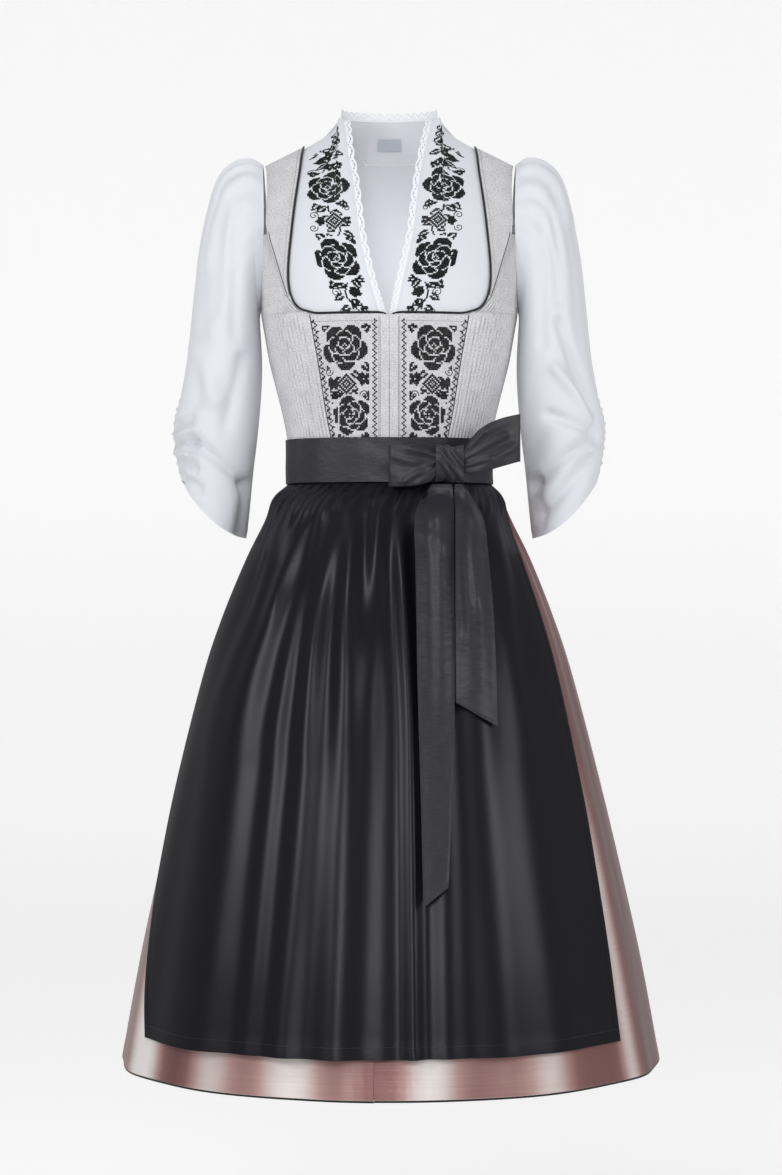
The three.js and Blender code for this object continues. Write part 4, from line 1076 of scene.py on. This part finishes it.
def apron_wave(x, u, height):
    """How far the folds, tucks and gathers stand out, by place across the front in millimetres
    and as a share of the apron's width."""
    wave = 0
    for top, middle, hem, start, wide, high in APRON_FOLDS:
        centre = blend(top, middle, ease(-height, WAIST, -FOLD_MIDDLE))
        lower = blend(middle, hem, (FOLD_MIDDLE - height) / (FOLD_MIDDLE - FOLD_END))
        centre = np.where(height > FOLD_MIDDLE, centre, lower)
        spread = blend(9, 0.85 * wide, ease(-height, WAIST, 900))
        wave = wave + 1.2 * high * ease(-height, -start, -start + 130) * bell(x - centre, spread)
    for top, low, end, wide, high in APRON_TUCKS:
        down_it = np.clip((-height - WAIST) / (-end - WAIST), 0, 1)
        shown = ease(-height, WAIST, 440) * (1 - ease(down_it, 0.45, 1))
        spread = wide * (1 + 0.8 * down_it)
        wave = wave + high * shown * bell(x - blend(top, low, down_it), spread)
    for k, spot in enumerate(gather_at):
        high, long = 3.4 + 1.4 * math.sin(3.1 * k), 26 + 34 * (0.5 + 0.5 * math.sin(5.7 * k)) ** 2
        drift = spot + 0.006 * math.sin(2.3 * k) * ease(-height, WAIST, 560)
        shown = ease(-height, 398, 418) * (1 - ease(-height, 420, 420 + long))
        wave = wave + high * shown * bell(u - drift, 0.011 + 0.012 * ease(-height, 410, 620))
    return wave


def evened(degrees, power):
    """An angle with its sine raised to a power, which spaces the cloth evenly across the flat
    front of the oval."""
    s, c = np.sin(np.radians(degrees)), np.cos(np.radians(degrees))
    s = signed_power(s, power)
    return np.degrees(np.arctan2(s, np.where(c < 0, -1, 1) * np.sqrt(1 - s * s)))


def apron_form(u, height):
    """Points of the apron, which lies over the skirt's folds and has its own."""
    power = 2 / skirt_power(height)
    ends = evened(apron_left(height), power), evened(apron_right(height), power)
    degrees = evened(blend(*ends, u), 1 / power)
    flat = skirt_form(degrees, height)
    lap = lap_share(degrees, height) * (1 - ease(degrees, -2, 14))
    clear = APRON_CLOTH + 0.7 + 2.2 * ease(-height, WAIST, 425) + LAP * lap
    return skirt_form(degrees, height, clear + apron_wave(flat[..., 0], u, height), own=0)


# Charcoal satin of man-made thread: near black in the troughs, with broad cool highlights that run
# down the folds and end softly.
satin = new_material("charcoal_satin", "#111116", 0.34, specular=0.4)
tree, inputs, cloth_map = opened(satin)
inputs["Specular Tint"].default_value = linear("#e8e6f2")
floats, _ = noise_bump(tree, cloth_map, (2400, 300), 1, 0.15, 0.0003)
creased, _ = noise_bump(tree, cloth_map, (12, 2.5), 1, 0.3, 0.004, floats)
tree.links.new(creased, inputs["Normal"])
# Charcoal thread: lighter than the satin, so that the hem's stitching shows as a fine dotted line.
charcoal_thread = new_material("charcoal_sewing_thread", "#3c3c42", 0.5, sheen=0.2)

height = (APRON_TOP + (APRON_HEM - APRON_TOP) * np.linspace(0, 1, 100) ** 1.3)[:, None]
u = np.linspace(0, 1, 300)[None, :]
grid = apron_form(u, height)
# The hem and both edges are turned in, and the hem's stitches follow its top.
APRON_STITCHING = -1052
hem = 0.5 * ease(-height, -APRON_STITCHING - 1, -APRON_STITCHING + 1)
sides = 0.5 * ease(np.abs(u - 0.5), 0.486, 0.488)
made = sewn("apron_panel", grid, (APRON_CLOTH, satin, "apron_satin"),
            lift=np.maximum(hem, sides), plain=0, flip=True)
line = apron_form(np.linspace(0, 1, 500), np.full(500, float(APRON_STITCHING)))
ways = unit(np.cross(np.gradient(line, axis=0), (0, 0, 1.0)))
made = threads("apron_hem_stitching", *stitches([(line + ways * 0.6, ways)], 3.2, 2.2), 0.4, 0.3)
piece(made, charcoal_thread, "apron_satin")

# Band and bow. A stiff strip of charcoal taffeta closes the apron once round the waist and ties
# at the right of the front: a knot, two loops, and a long and a short end with slanting hems.
BAND_CLOTH = 2.4
TIE_CLOTH = 1.6
BAND_TOP, BAND_BOTTOM = -348, -WAIST
# The band's half width and its depth in front and behind, and where the bow lies before it.
BAND_HALF, BAND_FRONT, BAND_BACK, BOW_FACE = 126.6, 91.8, 90.8, -98.9
# The knot's place, and its length, half depth and half height.
KNOT_X, KNOT_Z, KNOT_LONG, KNOT_DEEP, KNOT_HIGH = 73, -380, 34, 10.5, 22
# Charcoal taffeta, crisper and drier than the satin: a dull glow instead of highlights, with fine
# grain along the strip and small sharp creases.
tie_taffeta = new_material("charcoal_taffeta", None, 0.42, sheen=0.05, specular=0.45)
tree, inputs, cloth_map = opened(tie_taffeta)
ribbed, grain = noise_bump(tree, cloth_map, (60, 900), 2, 0.3, 0.0004)
creased, _ = noise_bump(tree, cloth_map, (40, 40), 3, 0.4, 0.004, ribbed)
tint = add_node(tree, "ShaderNodeValToRGB", {"Fac": grain}, [(0.3, "#232228"), (0.7, "#312f37")])
tree.links.new(tint.outputs["Color"], inputs["Base Color"])
tree.links.new(creased, inputs["Normal"])
TIE_SORT = TIE_CLOTH, tie_taffeta, "tie_taffeta"

angle = round_turns(180)[None, :]
height = np.linspace(BAND_TOP, BAND_BOTTOM, 16)[:, None]
s, c = np.sin(angle), np.cos(angle)
x = BAND_HALF * signed_power(s, 2 / OVAL) + 0 * height
y = -np.where(c > 0, BAND_FRONT, BAND_BACK) * signed_power(c, 2 / OVAL) + 0 * height
grid = np.stack([x, y, height + 0 * x], -1)
down_band = (height - BAND_TOP) / (BAND_TOP - BAND_BOTTOM)
wrinkle = np.sin(9 * down_band + 1.2 * np.sin(angle * 3)) * (0.5 + 0.5 * np.sin(angle * 5 + 1))
made = sewn("apron_band", grid, (BAND_CLOTH, *TIE_SORT[1:]),
            lift=BAND_CLOTH - 0.4 + 0.5 * wrinkle, plain=BAND_CLOTH, ring=True, flip=True)

v = np.linspace(0, 1, 30)[:, None]
around = round_turns(90)[None, :]
pinch = 1 - 0.12 * np.sin(np.pi * v)
grid = np.stack([
    KNOT_X + (v - 0.5) * KNOT_LONG + 0 * around,
    BOW_FACE - np.sin(around) * pinch * KNOT_DEEP,
    KNOT_Z + np.cos(around) * pinch * KNOT_HIGH], -1)
# Soft lengthwise pleats where the ribbon is squeezed round the roots of the loops.
tucks = ridged(grid[..., 0], grid[..., 2], [
    (58, -362, 88, -398, 3.5, 3.5), (60, -376, 80, -402, 2.6, 2.6), (68, -358, 91, -384, 2.6, 2.8)])
pleats = 1.2 * np.abs(np.sin(v * 5.2 + 0.55 * around + 0.5 * np.sin(around * 2)))
lift = pleats * ease(np.sin(around), -0.4, 0.3) + tucks * (np.sin(around) > 0)
made = sewn("bow_knot", grid, TIE_SORT, lift=lift, plain=0, ring=True)

LOOPS = {
    # place across, top, bottom, middle of the two layers, how far each layer stands from it
    "left": [(61, -371, -388, -99, 2.6), (50, -365, -401, -103, 5.5), (36, -361, -406, -106, 7.5),
             (16, -359, -408, -107, 7), (2, -358.5, -408, -107, 4.5), (-1, -358.5, -408, -107, 0)],
    "right": [(86, -371, -389, -99, 2.8), (98, -351, -392, -100.5, 6), (113, -336, -390, -99, 8.5),
              (134, -326, -384, -94, 8), (155, -320.5, -378, -88, 4.5),
              (159, -320, -377.5, -86.5, 0)],
}
LOOP_FOLDS = {
    # from x, z to x, z in the front view, half width, height
    "left": [(60, -376, 18, -402, 4, 3.2), (60, -385, 34, -405, 3, 2.6),
             (60, -371, 24, -363, 3, 2.4),
             (30, -380, 6, -372, 5, 2)],
    "right": [(88, -378, 140, -346, 4, 3.2), (88, -385, 122, -374, 3, 2.6),
              (88, -373, 114, -343, 3, 2.4),
              (120, -380, 150, -360, 5, 2)],
}
for name, sections in LOOPS.items():
    sections = np.array(sections, float)
    u = np.linspace(0, 1, 121)[None, :]
    v = np.linspace(0, 1, 36)[:, None]
    # Each loop runs out over its front layer, round its end and back behind.
    place = 5 * (1 - np.abs(1 - 2 * u))
    x, top, bottom, middle, apart = (curve_through(sections[:, k], place) for k in range(5))
    face = np.where(u < 0.5, -1, 1)
    root = 1 - place / 5
    crease = 1.4 * np.sin(3 * np.pi * v) * root
    crease = crease + 2.2 * (np.abs(np.sin(3.6 * np.pi * v + u)) - 0.5) * root**1.3
    wave = 1.2 * np.sin(np.pi * (v * 2 + place * 0.3)) * (1 - root)
    crease = crease + wave * np.minimum(apart / 4, 1)
    front = (face < 0) * ridged(x + 0 * v, blend(top, bottom, v), LOOP_FOLDS[name])
    y = middle + face * apart + (crease * face - front) * np.minimum(apart / 2, 1)
    grid = np.stack([x + 0 * v, y, blend(top, bottom, v)], -1)
    made = sewn(f"bow_loop_{name}", grid, TIE_SORT, flip=name == "right")

TAILS = {
    # how far its end slants, then height, left, right and how far ahead of the skirt, and its
    # flat size and area
    "long": (22, [(-405, 52, 76, 0), (-428, 36, 77.5, 28), (-452, 30, 77.5, 29), (-500, 31, 77, 26),
                  (-570, 32, 77, 23), (-645, 33, 76.5, 21), (-719, 35, 75, 20), (-794, 37, 72, 19),
                  (-874, 39, 68, 19)], (0.056, 0.50), 0.022),
    "short": (-28, [(-405, 79, 89, 0), (-428, 79, 104, 24), (-452, 79, 114, 28),
                    (-500, 78.5, 119, 27),
                    (-570, 78, 124, 24), (-645, 77.8, 126, 21), (-664, 77.8, 126.5, 21)],
              (0.056, 0.30), 0.0125),
}
TAIL_FOLDS = {
    # from x, z to x, z in the front view, half width, height
    "long": [(36, -432, 74, -416, 6, 4), (33, -462, 66, -478, 7, 3), (48, -406, 56, -444, 5, 3)],
    "short": [(84, -404, 104, -540, 9, 4), (88, -404, 118, -480, 6, 3), (80, -430, 86, -580, 5, 2)],
}
for name, (cut, edges, flat, area) in TAILS.items():
    edges = np.array(edges, float)
    last = len(edges) - 1
    place = np.linspace(0, last, 100)[:, None]
    u = np.linspace(0, 1, 30)[None, :]
    level, left, right, ahead = (curve_through(edges[:, k], place) for k in range(4))
    slant = np.maximum(place - (last - 1), 0)
    level = level - slant * abs(cut) * ((1 - u) if cut > 0 else u)
    x = blend(left, right, u)
    power = skirt_power(level)
    reach = skirt_front(level) * (1 - np.abs(x / skirt_half(level)) ** power) ** (1 / power)
    hung = ease(-level, 404, 452)
    fold = ridged(x, level, TAIL_FOLDS[name])
    fold = fold + 3 * np.cos(3 * np.pi * u) * (1 - ease(-level, 430, 760))
    # Small creases across the ribbon, below the root and on its left.
    crossing = 1.6 * np.sin((-level - 400) / 15 + 2.4 * u) * (1 - u)
    fold = fold + crossing * ease(-level, 425, 450) * (1 - ease(-level, 470, 560))
    y = blend(BOW_FACE, -(reach + ahead), hung) - fold * hung
    grid = np.stack([x, y, level], -1)
    hem = 0.5 * np.maximum(ease(place, last - 0.12, last - 0.1), ease(np.abs(u - 0.5), 0.44, 0.45))
    made = sewn(f"bow_tail_{name}", grid, TIE_SORT, lift=hem, plain=0, flip=True)

# Studio. A pale round floor that curves up far away on every side, with soft lights inside it.
BOWL = [(10, -1450), (6500, -1450), (8000, -1350), (9000, -900), (9300, 0), (9400, 4500)]
turn = round_turns(72)
bowl = np.array([[(r * math.cos(a), r * math.sin(a), z) for a in turn] for r, z in BOWL], float)
floor = cloth("studio_floor", bowl, 20, ring=True, flip=True)
# Matt paper: even and without shine. A glow of its own stands for walls that are lit from behind.
floor_paper = new_material("pale_paper", "#c4c4c4", 0.9, specular=0.2)
shader = floor_paper.node_tree.nodes["Principled BSDF"]
shader.inputs["Emission Color"].default_value = linear("#ffffff")
shader.inputs["Emission Strength"].default_value = 0.58
floor.data.materials.append(floor_paper)
# The satin mirrors the lights only, since so much pale floor would wash its folds out.
floor.visible_glossy = False

bpy.context.scene.view_settings.view_transform = "Standard"
world = bpy.data.worlds.new("studio")
bpy.context.scene.world = world
world.use_nodes = True
background = world.node_tree.nodes["Background"].inputs
background["Color"].default_value, background["Strength"].default_value = linear("#ffffff"), 0.2
LIGHTS = [
    # name, place, aim, size, watts
    ("key_light", (-2.2, -2.2, 0.6), (0, 0, -0.6), 0.9, 18),
    ("front_light", (-0.3, -3.6, 0.5), (0, 0, -0.3), 1.2, 26),
    ("high_light", (-0.5, -1.7, 1.9), (0, 0, -0.5), 0.8, 14),
    ("side_light", (2.3, -1.4, 0.1), (0, 0, -0.6), 0.9, 12),
    ("neck_light", (0.0, -0.03, -0.13), (0, 0.1, -0.12), 0.1, 0.12),
    ("top_light", (0.0, 0.8, 1.9), (0, 0, -0.4), 1.6, 10),
]
for name, spot, aim, size, watts in LIGHTS:
    lamp = bpy.data.lights.new(name, "AREA")
    lamp.shape, lamp.size, lamp.energy = "DISK", size, watts
    made = bpy.data.objects.new(name, lamp)
    made.location = spot
    x, y, z = (a - b for a, b in zip(spot, aim))
    made.rotation_euler = (math.atan2(math.hypot(x, y), z), 0, math.atan2(x, -y))
    bpy.context.scene.collection.objects.link(made)

# Camera: level and square to the front, at the height of the skirt's middle, 3.9 m away.
camera = bpy.data.cameras.new("photo_camera")
DISTANCE, HALF_FRAME = 3.9, 0.7285
camera.sensor_width = 36
camera.lens = camera.sensor_width / 2 / (HALF_FRAME / DISTANCE)
viewer = bpy.data.objects.new("photo_camera", camera)
viewer.location = (0.002, -DISTANCE, -0.53)
viewer.rotation_euler = (math.radians(90), 0, 0)
bpy.context.scene.collection.objects.link(viewer)
bpy.context.scene.camera = viewer
